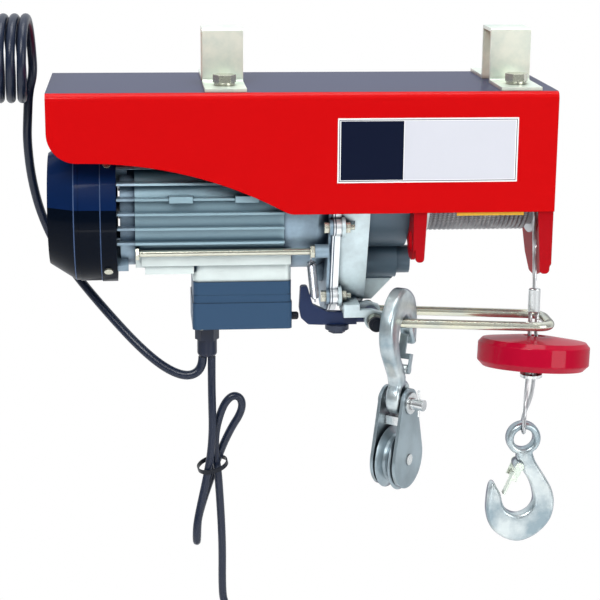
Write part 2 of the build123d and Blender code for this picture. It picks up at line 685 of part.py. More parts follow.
def drum():
    """The rope drum: a tube between two flanges, with webs on the shaft."""
    t = DRUM_FLANGE_T
    profile = [(DRUM_LEFT, OUTPUT_R + 0.02), (DRUM_LEFT, DRUM_FLANGE_R), (DRUM_LEFT + t, DRUM_FLANGE_R),
               (DRUM_LEFT + t, DRUM_CORE_R), (DRUM_RIGHT - t, DRUM_CORE_R), (DRUM_RIGHT - t, DRUM_FLANGE_R),
               (DRUM_RIGHT, DRUM_FLANGE_R), (DRUM_RIGHT, OUTPUT_R + 0.02), (DRUM_RIGHT - 6, OUTPUT_R + 0.02),
               (DRUM_RIGHT - 6, DRUM_CORE_R - 3), (DRUM_LEFT + 6, DRUM_CORE_R - 3), (DRUM_LEFT + 6, OUTPUT_R + 0.02)]
    return turned(profile, DRUM_Z)


def rope_winding():
    """The rope on the drum, with the last lap's place left free at the right."""
    top = ROPE_FALL_R + ROPE_R
    left, right = DRUM_LEFT + DRUM_FLANGE_T, DRUM_RIGHT - DRUM_FLANGE_T
    last = ROPE_X - ROPE_R - 0.4
    low = ROPE_FALL_R - ROPE_R - 0.4
    profile = [(left, DRUM_CORE_R), (left, top), (last, top), (last, low), (right, low), (right, DRUM_CORE_R)]
    return turned(profile, DRUM_Z)


def box_base():
    depth = BOX_FRONT + BOX_DEPTH
    base = block(BOX_LEFT, BOX_RIGHT, BOX_FRONT, depth, BOX_SEAM, BOX_TOP)
    base = fillet(base.edges().filter_by(Axis.Z), 5)
    inner = block(BOX_LEFT + BOX_WALL, BOX_RIGHT - BOX_WALL, BOX_FRONT + BOX_WALL, depth - BOX_WALL,
                  BOX_SEAM - 1, BOX_TOP - BOX_WALL)
    return base - inner


def box_lid():
    """The deep lid, with the gland's hole in its floor and the plunger's hole in its right wall."""
    grow = 0.8
    depth = BOX_FRONT + BOX_DEPTH
    lid = block(BOX_LEFT, BOX_RIGHT, BOX_FRONT, depth, BOX_BOTTOM, BOX_SEAM)
    lid += block(BOX_LEFT - grow, BOX_RIGHT + grow, BOX_FRONT - grow, depth + grow, BOX_BOTTOM, BOX_SEAM - 7)
    lid = fillet(lid.edges().filter_by(Axis.Z), 4)
    inner = block(BOX_LEFT + BOX_WALL, BOX_RIGHT - BOX_WALL, BOX_FRONT + BOX_WALL, depth - BOX_WALL,
                  BOX_BOTTOM + BOX_WALL, BOX_SEAM + 1)
    lid -= inner
    lid -= bar_z(GLAND_R - 2, BOX_BOTTOM - 1, BOX_SEAM, GLAND_X, GLAND_Y)
    lid -= bar_x(PLUNGER_R + 0.3, BOX_RIGHT - 6, BOX_RIGHT + 6, LEVER_Y, PLUNGER_Z)
    for x, y in lid_screw_places():
        lid += bar_z(3.5, BOX_BOTTOM + 1, BOX_SEAM, x, y)
        lid -= bar_z(1.9, BOX_BOTTOM - 1, BOX_SEAM + 1, x, y)
    return lid


def lid_screw_places():
    near_x, near_y = 7, 7
    back = BOX_FRONT + BOX_DEPTH
    return [(BOX_LEFT + near_x, BOX_FRONT + near_y), (BOX_LEFT + near_x, back - near_y),
            (BOX_RIGHT - near_x, BOX_FRONT + BOX_WALL + 15), (BOX_RIGHT - near_x, back - near_y)]


def lid_screws():
    screws = []
    for x, y in lid_screw_places():
        screws.append(bar_z(3, BOX_BOTTOM - 1.6, BOX_BOTTOM, x, y) + bar_z(1.8, BOX_BOTTOM, BOX_SEAM, x, y))
    return Compound(screws)


def capacitor():
    """The motor's capacitor, lying in the terminal box."""
    can = bar_x(13, -128, -80, BOX_FRONT + BOX_DEPTH - BOX_WALL - 13.2, BOX_SEAM - 13)
    return fillet(can.edges(), 1.5)


def limit_switch():
    """A snap switch behind the plunger."""
    body = block(BOX_RIGHT - 26, BOX_RIGHT - BOX_WALL - 3, LEVER_Y - 4, LEVER_Y + 4, PLUNGER_Z - 5.5, PLUNGER_Z + 14)
    return body - bar_x(PLUNGER_R - 1.2, BOX_RIGHT - 12, BOX_RIGHT, LEVER_Y, PLUNGER_Z)


def switch_plunger():
    """The plunger in its guide: the lever's heel pushes it in."""
    pin = bar_x(PLUNGER_R - 1.5, BOX_RIGHT - 8, BOX_RIGHT + 1, LEVER_Y, PLUNGER_Z)
    tip = bar_x(PLUNGER_R, BOX_RIGHT - 3.5, BOX_RIGHT + 7, LEVER_Y, PLUNGER_Z)
    return pin + fillet(tip.edges().sort_by(Axis.X)[-1], 2)


def cable_gland():
    """The gland's body: a thread through the lid's floor, a flange and a hexagon."""
    z = BOX_BOTTOM
    body = bar_z(GLAND_R - 2.1, z, z + 12, GLAND_X, GLAND_Y)
    body += bar_z(GLAND_R + 1.5, z - 3, z, GLAND_X, GLAND_Y)
    body += hex_bar_z(2 * GLAND_R, z - 15, z - 3, GLAND_X, GLAND_Y)
    return body - bar_z(GLAND_R - 3.5, z - 16, z + 13, GLAND_X, GLAND_Y)


def gland_nut():
    """The domed nut that squeezes the seal onto the two cords."""
    z = BOX_BOTTOM - 15
    end = BOX_BOTTOM - GLAND_LENGTH
    nut = bar_z(GLAND_R - 0.5, end, z, GLAND_X, GLAND_Y)
    nut = fillet(nut.edges().sort_by(Axis.Z)[0], 4)
    return nut


def limit_lever():
    """The L-shaped lever: a heel at the plunger, an ear for the spring and a socket for the bail."""
    left = BOX_RIGHT + 7.4
    points = [(left + 1, -174), (left + 7, -174), (left + 12, -191), (-34, -197.6), (-9, -198.6), (-9, -209),
              (-40, -209), (left + 8, -208.4), (left + 1.5, PLUNGER_Z - 1.5), (left, PLUNGER_Z + 7)]
    plate = prism_y(outline(points, 2.4, (0, 1, 2, 3, 6, 7, 8, 9)), LEVER_Y - LEVER_T / 2, LEVER_Y + LEVER_T / 2)
    plate -= bar_y(1.7, LEVER_Y - LEVER_T, LEVER_Y + LEVER_T, -46, -190)
    socket = bar_x(4.6, -9, PIVOT_X - SLEEVE_R + 1, LEVER_Y, PIVOT_Z - 1)
    sleeve = bar_y(SLEEVE_R, LEVER_Y - 9, LEVER_Y + 9, PIVOT_X, PIVOT_Z)
    lever = plate + socket + sleeve
    return lever - bar_y(PIVOT_R + RUN, LEVER_Y - 30, LEVER_Y + 30, PIVOT_X, PIVOT_Z)


def lever_bolt():
    """The bolt and nut under the lever that clamp its joint."""
    x, z = PIVOT_X - 31, PIVOT_Z - 6.5
    return hex_bar_z(13, z - 7.5, z, x, LEVER_Y) + bar_z(10.5, z - 4.5, z, x, LEVER_Y)


def bail():
    """A round bar bent to a U about the rope, with its ends round the pivot pin."""
    fall = BAIL_FALL / (BAIL_RIGHT - PIVOT_X)
    r = BAIL_R
    right = BAIL_RIGHT - r
    corner = 13
    points = []
    for x, side in ((PIVOT_X + 2, -1), (right, -1), (right, 1), (PIVOT_X + 2, 1)):
        points.append((x, BAIL_Y + side * BAIL_HALF, PIVOT_Z - fall * (x - PIVOT_X)))
    path = FilletPolyline(*points, radius=corner)
    rod = sweep(Plane(origin=path @ 0, z_dir=path % 0) * Circle(r), path)
    for side in (-1, 1):
        y = BAIL_Y + side * BAIL_HALF
        rod += bar_y(SLEEVE_R, y - 5, y + 5, PIVOT_X, PIVOT_Z)
        rod -= bar_y(PIVOT_R + RUN, y - 9, y + 9, PIVOT_X, PIVOT_Z)
    return rod


def bail_bushes():
    """Black nylon bushes on the pin's ends."""
    bushes = []
    for side in (-1, 1):
        y0 = BAIL_Y + side * (BAIL_HALF + 5.2)
        y1 = y0 + side * 3.5
        bushes.append(bar_y(6.6, min(y0, y1), max(y0, y1), PIVOT_X, PIVOT_Z)
                      - bar_y(PIVOT_R + 0.02, min(y0, y1) - 1, max(y0, y1) + 1, PIVOT_X, PIVOT_Z))
    return Compound(bushes)


def pivot_pin():
    half = BAIL_HALF + 9.5
    pin = bar_y(PIVOT_R, BAIL_Y - half, BAIL_Y + half, PIVOT_X, PIVOT_Z)
    return pin


def lever_spring():
    """An extension spring from the lever to the lower tie rod, as its outer shape with two hooks."""
    top = Vector(-51.5, -TIE_Y + 2, MOTOR_Z - TIE_LOW - TIE_R - 2.6)
    low = Vector(-46, LEVER_Y - LEVER_T / 2 - 2, -187.5)
    along = (low - top).normalized()
    coil = extrude(Plane(origin=top + along * 5, z_dir=along) * Circle(3.6), (low - top).length - 10)
    wire = extrude(Plane(origin=top, z_dir=along) * Circle(0.8), (low - top).length)
    return coil + wire


def cord_tube(points, radius, limp=1.0):
    """A round tube along straight runs and tangent arcs that are as large as the runs allow."""
    vectors = [Vector(*p) for p in points]
    radii = []
    for a, b, c in zip(vectors, vectors[1:], vectors[2:]):
        turn = radians((b - a).get_angle(c - b))
        shorter = min((b - a).length, (c - b).length)
        radii.append(0.45 * shorter / sin(turn / 2) * cos(turn / 2))
    path = FilletPolyline(*points, radius=radii)
    tube = sweep(Plane(origin=path @ 0, z_dir=path % 0) * Circle(radius), path)
    print("cord", round(path.length), "mm, radii", [round(r, 1) for r in radii],
          "volume share", round(tube.volume / (pi * radius ** 2 * path.length), 4))
    return tube


def rope_fall():
    """The rope from the drum down to the ferrule."""
    top = Vector(ROPE_X, ROPE_Y, DRUM_Z)
    low = Vector(LINE_X, ROPE_Y, FERRULE_TOP + 0.2)
    return extrude(Plane(origin=top, z_dir=low - top) * Circle(ROPE_R), (low - top).length)


def ferrule():
    """An oval sleeve pressed over the doubled rope."""
    face = Ellipse(5.4, 3.3)
    body = Pos(LINE_X, ROPE_Y, FERRULE_TOP - FERRULE_LENGTH) * extrude(face, FERRULE_LENGTH)
    return fillet(body.edges(), 1)


def rope_eye():
    """The loop under the ferrule: two strands through the weight, closed through the hook's eye."""
    z0 = FERRULE_TOP - FERRULE_LENGTH - 0.1
    eye = HOOK_Z + EYE_HOLE_R - ROPE_R - 0.9
    gap = 9
    points = [(LINE_X - 3, ROPE_Y, z0), (LINE_X - 3, ROPE_Y, z0 - 56), (LINE_X - 4.6, ROPE_Y - 3, z0 - 78),
              (HOOK_X - 1.6, ROPE_Y - gap, eye + 10), (HOOK_X - 1, ROPE_Y - gap + 1, eye),
              (HOOK_X + 1, ROPE_Y + gap - 1, eye), (HOOK_X + 1.6, ROPE_Y + gap, eye + 10),
              (LINE_X + 1.6, ROPE_Y + 3, z0 - 78), (LINE_X + 3, ROPE_Y, z0 - 56), (LINE_X + 3, ROPE_Y, z0)]
    return cord_tube(points, ROPE_R)


def weight():
    """The lift-stop weight: a thick disc with a shallow cone on both faces."""
    half = WEIGHT_RIM / 2
    profile = [(WEIGHT_BORE, -half - 3), (WEIGHT_BORE, half + 4), (WEIGHT_BORE + 8, half + 3.6), (WEIGHT_R - 3.5, half),
               (WEIGHT_R, half - 4), (WEIGHT_R, -half + 5), (WEIGHT_R - 5, -half), (20, -half - 2), (15, -half - 3)]
    disc = revolve(Plane.XZ * make_face(Polyline(*profile, close=True)), Axis.Z)
    edges = [e for e in disc.edges().filter_by(GeomType.CIRCLE) if abs(e.radius - WEIGHT_R) < 0.1]
    disc = fillet(edges, 2)
    return Pos(WEIGHT_X, ROPE_Y, WEIGHT_Z) * Rot(*WEIGHT_TILT) * disc


def stop_collar():
    """The clamp on the rope that the weight rests on."""
    top = -258.7
    collar = bar_z(COLLAR_R, top - 3, top, LINE_X, ROPE_Y)
    return collar - block(LINE_X - 5.6, LINE_X + 5.6, ROPE_Y - 3.5, ROPE_Y + 3.5, top - 6, top + 1)


def smooth_loop(points):
    """A closed outline of straight runs and arcs as large as the runs allow."""
    vectors = [Vector(*p) for p in points]
    count = len(vectors)
    radii = []
    for i in range(count):
        a, b, c = vectors[i - 1], vectors[i], vectors[(i + 1) % count]
        turn = radians((b - a).get_angle(c - b))
        radii.append(0.47 * min((b - a).length, (c - b).length) / sin(turn / 2) * cos(turn / 2))
    return make_face(FilletPolyline(*points, radius=radii, close=True))


def hook_outline():
    """The forged hook seen flat: eye, neck, shank, bowl and point."""
    outer = [(-7, 4), (8, 4), (10, -18), (15.5, -29), (21.5, -39), (27.2, -50), (29.4, -64), (25.4, -80),
             (13.8, -93.2), (-2.4, -99.6), (-17, -96), (-29.4, -85.4), (-34.2, -71), (-33.9, -57), (-31.9, -43),
             (-28.2, -39.4), (-24.8, -43.4)]
    inside = [(-20.6, -52), (-19.2, -61), (-14.6, -69.4), (-5, -73.5), (5, -69.6), (9.8, -61), (9.2, -51),
              (5.4, -40.3), (0, -31.4), (-5, -18)]
    face = smooth_loop(outer + inside) + Circle(EYE_R)
    necks = [v for v in face.vertices() if abs(sqrt(v.X ** 2 + v.Y ** 2) - EYE_R) < 0.05 and v.Y < -5]
    return fillet(necks, 3)


def hook():
    """A forged eye hook, in the plane of X and Z, about its eye's centre."""
    body = prism_y(hook_outline() - Circle(EYE_HOLE_R), -HOOK_T / 2, HOOK_T / 2)
    faces = body.faces().filter_by(Axis.Y)
    body = chamfer(faces.edges(), HOOK_EDGE)
    ear = bar_y(4.2, -HOOK_T / 2 - 1.5, HOOK_T / 2 + 1.5, *LATCH_PIN)
    return body + ear


def latch():
    """The hook's safety latch: a bent sheet that swings on the hook's ears, in the hook's own place."""
    dx, dz = LATCH_END[0] - LATCH_PIN[0], LATCH_END[1] - LATCH_PIN[1]
    length = sqrt(dx * dx + dz * dz)
    tilt = degrees(atan2(dx, -dz))
    half = HOOK_T / 2 + 1.9
    cheek = 1.4
    tongue = Pos(0, 0, -length / 2 - 5) * Box(1.6, 7, length - 10)
    tongue += Pos(0, 0, -11.5) * Box(1.6, 2 * half, 5)
    for side in (-1, 1):
        y = side * (half + cheek / 2)
        tongue += Pos(0, y, -6.5) * Box(6, cheek, 15) + Pos(0, y, 0) * Rot(90, 0, 0) * Cylinder(4, cheek)
    return Pos(LATCH_PIN[0], 0, LATCH_PIN[1]) * Rot(0, -tilt, 0) * tongue


def on_line():
    return Pos(HOOK_X, ROPE_Y, HOOK_Z) * Rot(0, HOOK_TILT, 0)


def rod_z(x):
    return PIVOT_Z - BAIL_FALL / (BAIL_RIGHT - PIVOT_X) * (x - PIVOT_X)


def on_block():
    """Places the hook upside down over the bail's front rod, turned about Z."""
    up = BOWL_R - BAIL_R - BOWL_PLAY
    rod = Pos(BLOCK_X, BAIL_Y - BAIL_HALF, rod_z(BLOCK_X))
    return rod * Rot(0, 0, BLOCK_TURN) * Rot(0, BLOCK_TILT, 0) * Pos(BOWL[0], 0, BOWL[1] - up) * Rot(0, 180, 0)


def block_frame_place():
    """The clevis pin's centre, with Y along the pin: the pin hangs in the hook's eye."""
    drop = EYE_HOLE_R - CLEVIS_R - 0.3
    hang = on_block().position
    return Pos(hang.X, hang.Y, hang.Z - drop) * Rot(0, 0, PLATES_TURN)


def block_plates():
    """Two teardrop plates on both sides of the sheave."""
    face = make_hull((Circle(PLATE_TOP_R) + Pos(0, -AXLE_DROP) * Circle(PLATE_LOW_R)).edges())
    face -= Circle(CLEVIS_R + 0.02)
    face -= Pos(0, -AXLE_DROP) * Circle(AXLE_R + 0.02)
    plates = []
    for y in (-PLATE_GAP / 2 - PLATE_T, PLATE_GAP / 2):
        plates.append(prism_y(face, y, y + PLATE_T))
    return block_frame_place() * Compound(plates)


def block_spacer():
    """A flat bar between the plates, over the sheave."""
    half = PLATE_GAP / 2
    top = EYE_HOLE_R - CLEVIS_R - EYE_R - 2
    return block_frame_place() * block(-5, 5, -half, half, top - 8, top)


def clevis_pin():
    """The clevis pin with its head, washer and split pin."""
    half = PLATE_GAP / 2 + PLATE_T
    near = -half - 14
    pin = bar_y(CLEVIS_R, near, half + 3, 0, 0) + bar_y(8, half, half + 3, 0, 0)
    pin += bar_y(9.6, -half - 2, -half, 0, 0)
    cotter = bar_z(1.1, -11, 13, 0, -half - 8.5)
    return block_frame_place() * (pin + cotter)


def sheave_axle():
    half = PLATE_GAP / 2 + PLATE_T
    axle = bar_y(AXLE_R, -half - 1.2, half + 1.2, 0, -AXLE_DROP)
    return block_frame_place() * axle


def sheave():
    """A grooved wheel that turns on the axle."""
    half = SHEAVE_T / 2
    groove = 6.5
    rim = 1.6
    bore = AXLE_R + RUN
    profile = [(bore, -half), (SHEAVE_R - 3, -half), (SHEAVE_R, -half + rim), (SHEAVE_R - groove, -2.2),
               (SHEAVE_R - groove - 1, 0), (SHEAVE_R - groove, 2.2), (SHEAVE_R, half - rim), (SHEAVE_R - 3, half),
               (bore, half)]
    wheel = revolve(Plane.XZ * make_face(Polyline(*profile, close=True)), Axis.Z)
    return block_frame_place() * Pos(0, 0, -AXLE_DROP) * Rot(90, 0, 0) * wheel


def gland_exit():
    return BOX_BOTTOM - GLAND_LENGTH - 0.3


MAINS_ROUTE = [
    (-144, -20, -243), (-144.1, -20, -253.5), (-157, -21.6, -261), (-177, -17, -254), (-200, -8, -236),
    (-226, 14, -212), (-252, 38, -186), (-272, 59, -163), (-287, 57, -128), (-294, 44, -92),
    (-296, 31, -56), (-294.6, 27, -34), (-293, 26.4, -11.2),
]


def mains_cord():
    """The mains lead's free stretch, from the gland behind the fan cover up to its coil."""
    start = (MAINS_ROUTE[0][0], MAINS_ROUTE[0][1], gland_exit())
    return cord_tube([start] + MAINS_ROUTE[1:], MAINS_R)


def coil_end_x():
    return COIL_FIRST_X - COIL_PITCH * COIL_TURNS


def mains_coil():
    """The outer shape of the lead's turns round the bar's place."""
    x0, x1 = coil_end_x() - MAINS_R, COIL_FIRST_X + MAINS_R
    return tube_x(COIL_MEAN_R + MAINS_R, COIL_MEAN_R - MAINS_R, x0, x1, 0, COIL_Z)


def plug_place():
    return coil_end_x() - MAINS_R - 26, 0, COIL_Z - COIL_MEAN_R - 26


def mains_tail():
    """The last bit of the lead, from the coil to the plug."""
    x, y, z = plug_place()
    start = (coil_end_x() - MAINS_R - 0.3, 0, COIL_Z - COIL_MEAN_R)
    points = [start, (start[0] - 14, y, start[2] - 0.6), (x, y, z + 12), (x, y, z + 0.4)]
    return cord_tube(points, MAINS_R)


def mains_plug():
    """A two-pin plug with earth clips, hanging from the end of the lead."""
    x, y, z = plug_place()
    neck = Pos(x, y, z - 9) * Cone(8, 5.5, 18)
    body = Pos(x, y, z - 18 - 15) * Cylinder(17, 30)
    body = fillet(body.edges(), 3)
    pins = [bar_z(2.4, z - 18 - 30 - 18, z - 18 - 30, x, y + side * 9.5) for side in (-1, 1)]
    return neck + body + pins[0] + pins[1]


PENDANT_ROUTE = [
    (-136, -20.5, -243), (-136.2, -20.7, -262), (-136, -24, -287), (-135.6, -24.6, -310), (-137.5, -25, -334),
    (-142, -25.5, -358), (-147.5, -26.5, -385), (-151, -28, -409), (-150.5, -27, -421), (-149.6, -13, -421),
    (-148.6, -11.6, -406), (-143, -11, -378), (-134.6, -12.2, -353), (-127, -12.4, -331), (-118.5, -14, -312),
    (-110.6, -16, -296), (-109.6, -18, -284.5), (-118.5, -18.5, -281), (-127.5, -18, -294), (-133.6, -17, -313),
    (-134.6, -16.8, -331), (-130.8, -19.6, -352), (-129.4, -19.4, -374), (-127.9, -19.7, -402),
    (-127.2, -20, -430), (-127.6, -20.2, -460), (-127.5, -20, -491.5),
]


def pendant_cord():
    """The control cord, down to its doubled bow, through the tie and on below."""
    start = (PENDANT_ROUTE[0][0], PENDANT_ROUTE[0][1], gland_exit())
    return cord_tube([start] + PENDANT_ROUTE[1:], PENDANT_CORD_R)


def cord_tie():
    """The cord's tie round the bow."""
    ring = Pos(-135.7, -18.6, -345) * Rot(8, -14, 0) * (Cylinder(14.2, 4) - Cylinder(13.2, 5))
    return ring


def pendant_coil():
    """The outer shape of the cord's put-away turns."""
    x, y, z = HANK_TOP
    ring = bar_y(HANK_R + 4, y - HANK_HALF, y + HANK_HALF, x, z - HANK_R - 4)
    return ring - bar_y(HANK_R - 9, y - HANK_HALF - 1, y + HANK_HALF + 1, x, z - HANK_R - 4)


def pendant_tail():
    x, y, z = HANK_TOP
    low = z - 2 * HANK_R - 8.5
    points = [(x, y, low), (x + 0.6, y, low - 8), (x, y, PENDANT_TOP + 0.4)]
    return cord_tube(points, PENDANT_CORD_R)


def pendant_housing():
    """The hand control: a rounded case with a tapered cord sleeve."""
    x, y, _ = HANK_TOP
    w, d, h = PENDANT_SIZE
    case = Pos(x, y, PENDANT_TOP - 20 - h / 2) * Box(w, d, h)
    case = fillet(case.edges().filter_by(Axis.Z), 12)
    case = fillet(case.faces().sort_by(Axis.Z)[0].edges() + case.faces().sort_by(Axis.Z)[-1].edges(), 5)
    sleeve = Pos(x, y, PENDANT_TOP - 10) * Cone(9, 5.5, 20)
    case = case + sleeve
    for z in button_places():
        case -= bar_y(BUTTON_R + 0.6, y - d / 2 - 1, y - d / 2 + 9, x, z)
    return case - bar_y(STOP_STEM_R + 0.6, y - d / 2 - 1, y - d / 2 + 9, x, stop_place())


BUTTON_R = 10
STOP_STEM_R = 8
STOP_R = 14
BUTTON_PROUD = 3
BUTTON_TRAVEL = 2.5


def stop_place():
    return PENDANT_TOP - 46


def button_places():
    return PENDANT_TOP - 86, PENDANT_TOP - 118


def push_button(z):
    x, y, _ = HANK_TOP
    front = y - PENDANT_SIZE[1] / 2
    cap = bar_y(BUTTON_R, front - BUTTON_PROUD, front + 5.5, x, z)
    return fillet(cap.edges().sort_by(Axis.Y)[0], 1)


def stop_button():
    """The mushroom-headed stop button."""
    x, y, _ = HANK_TOP
    front = y - PENDANT_SIZE[1] / 2
    z = stop_place()
    head = bar_y(STOP_R, front - 13, front - 5, x, z)
    head = fillet(head.edges().sort_by(Axis.Y)[0], 3.5)
    return head + bar_y(STOP_STEM_R, front - 6, front + 4, x, z)


def main():
    parts = {
        "cover_shell": cover_shell(),
        "end_plate_right": end_plate_right(),
        "drum_plate_left": drum_plate_left(),
        "rope_guard": rope_guard(),
        "clamp_strap_left": clamp_strap(-STRAP_X),
        "clamp_strap_right": clamp_strap(STRAP_X),
        "clamp_bolts": clamp_bolts(),
        "fan_cover": fan_cover(),
        "case_screws": group(fan_cover_screws(), lid_screws()),
        "fan": fan(),
        "rear_bell": rear_bell(),
        "stator_housing": stator_housing(),
        "stator_core": group(stator_core(), windings()),
        "rotor": rotor(),
        "motor_bearings": motor_bearings(),
        "front_bell": front_bell(),
        "tie_rods": tie_rods(),
        "gear_flange": gear_flange(),
        "gearbox_case": gearbox_case(),
        "gearbox_bolts": gearbox_bolts(),
        "counter_gear": counter_gear(),
        "gear_bearings": gear_bearings(),
        "output_gear": output_gear(),
        "drum_bearings": drum_bearings(),
        "drum": drum(),
        "rope_winding": rope_winding(),
        "box_base": box_base(),
        "box_lid": box_lid(),
        "capacitor": capacitor(),
        "limit_switch": limit_switch(),
        "switch_plunger": switch_plunger(),
        "cable_gland": cable_gland(),
        "gland_nut": gland_nut(),
        "limit_lever": limit_lever(),
        "lever_bolt": lever_bolt(),
        "bail": bail(),
        "pivot_pin": group(pivot_pin(), bail_bushes()),
        "lever_spring": lever_spring(),
        "rope_fall": rope_fall(),
        "rope_sleeves": group(ferrule(), stop_collar()),
        "rope_eye": rope_eye(),
        "weight": weight(),
        "load_hook": on_line() * hook(),
        "load_latch": on_line() * latch(),
        "block_hook": on_block() * hook(),
        "block_latch": on_block() * latch(),
        "block_plates": block_plates(),
        "block_pins": group(clevis_pin(), block_spacer(), sheave_axle()),
        "sheave": sheave(),
        "mains_cord": group(mains_cord(), mains_tail()),
        "mains_coil": mains_coil(),
        "mains_plug": mains_plug(),
        "pendant_cord": group(pendant_cord(), pendant_tail()),
        "cord_tie": cord_tie(),
        "pendant_coil": pendant_coil(),
        "pendant_housing": pendant_housing(),
        "up_button": push_button(button_places()[0]),
        "down_button": push_button(button_places()[1]),
        "stop_button": stop_button(),
    }
    os.makedirs("parts", exist_ok=True)
    for name, part in parts.items():
        export_step(part, f"parts/{name}.step")
        print(name, len(part.solids()))


if __name__ == "__main__":
    main()
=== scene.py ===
import math
from math import cos, pi, radians, sin, sqrt

import bmesh
import bpy
from mathutils import Matrix, Vector


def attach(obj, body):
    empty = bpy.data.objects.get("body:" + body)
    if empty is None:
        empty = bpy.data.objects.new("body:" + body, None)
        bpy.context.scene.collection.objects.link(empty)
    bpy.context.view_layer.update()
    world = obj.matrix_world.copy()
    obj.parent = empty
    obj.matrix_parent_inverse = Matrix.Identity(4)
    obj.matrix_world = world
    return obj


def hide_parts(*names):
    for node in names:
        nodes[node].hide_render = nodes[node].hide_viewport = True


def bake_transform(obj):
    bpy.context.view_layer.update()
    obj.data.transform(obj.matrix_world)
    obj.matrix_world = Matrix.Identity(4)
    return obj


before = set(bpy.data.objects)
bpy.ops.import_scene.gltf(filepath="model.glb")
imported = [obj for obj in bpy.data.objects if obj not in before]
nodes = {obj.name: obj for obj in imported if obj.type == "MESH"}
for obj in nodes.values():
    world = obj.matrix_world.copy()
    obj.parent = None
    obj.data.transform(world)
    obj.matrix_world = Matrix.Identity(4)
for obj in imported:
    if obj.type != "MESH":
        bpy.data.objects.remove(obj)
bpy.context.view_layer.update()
collection = bpy.context.scene.collection
MM = 0.001


def mm(x, y, z):
    return Vector((x * MM, y * MM, z * MM))


# --- camera, light and room

VIEW = {"place": mm(-198.0, -1477.2, 186.3), "right": 5.52, "down": 14.48, "roll": 0.43, "lens": 102.0}
ROOM = {"floor": -840, "thick": 20, "half": 3500, "back": 2600}
LIGHTS = [
    {"name": "keyLight", "place": (-0.9, -1.9, 1.5), "aim": (-0.05, 0, -0.12), "size": 1.1, "power": 46},
    {"name": "fillLight", "place": (1.5, -1.7, 0.2), "aim": (0.0, 0, -0.15), "size": 1.2, "power": 19},
    {"name": "topLight", "place": (0.0, -0.1, 1.9), "aim": (-0.05, 0, 0), "size": 1.2, "power": 22},
    {"name": "lowLight", "place": (-0.3, -1.3, -1.1), "aim": (0, 0, -0.2), "size": 0.8, "power": 8},
]


def addCamera():
    data = bpy.data.cameras.new("camera")
    data.lens = VIEW["lens"]
    data.sensor_width = 36
    data.clip_start = 0.05
    data.clip_end = 30
    camera = bpy.data.objects.new("camera", data)
    collection.objects.link(camera)
    turn = (Matrix.Rotation(radians(-VIEW["right"]), 3, "Z") @ Matrix.Rotation(radians(90 - VIEW["down"]), 3, "X")
            @ Matrix.Rotation(radians(VIEW["roll"]), 3, "Z"))
    camera.matrix_world = Matrix.Translation(VIEW["place"]) @ turn.to_4x4()
    scene = bpy.context.scene
    scene.camera = camera
    scene.render.resolution_x = 600
    scene.render.resolution_y = 600
    scene.view_settings.view_transform = "Standard"
    scene.view_settings.look = "None"


def addLights():
    for light in LIGHTS:
        data = bpy.data.lights.new(light["name"], "AREA")
        data.energy = light["power"]
        data.size = light["size"]
        lamp = bpy.data.objects.new(light["name"], data)
        collection.objects.link(lamp)
        place = Vector(light["place"])
        aim = (Vector(light["aim"]) - place).to_track_quat("-Z", "Y")
        lamp.matrix_world = Matrix.Translation(place) @ aim.to_matrix().to_4x4()


# --- materials

class Wire:
    """A socket of a node tree, with the usual arithmetic."""

    def __init__(self, tree, socket):
        self.tree = tree
        self.socket = socket

    def node(self, kind, inputs=None, output=0, **settings):
        made = self.tree.nodes.new(kind)
        for key, value in settings.items():
            setattr(made, key, value)
        for key, value in (inputs or {}).items():
            self.feed(made.inputs[key], value)
        return Wire(self.tree, made.outputs[output])

    def feed(self, target, value):
        if isinstance(value, Wire):
            self.tree.links.new(value.socket, target)
        elif isinstance(value, tuple) and len(value) == 3 and len(target.default_value) == 4:
            target.default_value = (*value, 1)
        else:
            target.default_value = value

    def sum(self, operation, other=0.0):
        return self.node("ShaderNodeMath", {0: self, 1: other}, operation=operation)

    def __add__(self, other):
        return self.sum("ADD", other)

    def __sub__(self, other):
        return self.sum("SUBTRACT", other)

    def __mul__(self, other):
        return self.sum("MULTIPLY", other)

    def __gt__(self, other):
        return self.sum("GREATER_THAN", other)

    def ramp(self, low, high, toLow=0.0, toHigh=1.0):
        return self.node("ShaderNodeMapRange", {0: self, 1: low, 2: high, 3: toLow, 4: toHigh})

    def mix(self, first, second):
        made = self.tree.nodes.new("ShaderNodeMix")
        made.data_type = "RGBA"
        self.feed(made.inputs[0], self)
        self.feed(made.inputs[6], first)
        self.feed(made.inputs[7], second)
        return Wire(self.tree, made.outputs[2])

    def axis(self, index):
        return self.node("ShaderNodeSeparateXYZ", {0: self}, output=index)

    def noise(self, scale, detail=3.0, rough=0.5):
        return self.node("ShaderNodeTexNoise", {"Vector": self, "Scale": scale, "Detail": detail, "Roughness": rough})

    def bump(self, strength, distance, below=None):
        inputs = {"Strength": strength, "Distance": distance * MM, "Height": self}
        if below:
            inputs["Normal"] = below
        return self.node("ShaderNodeBump", inputs)


MATERIALS = {}


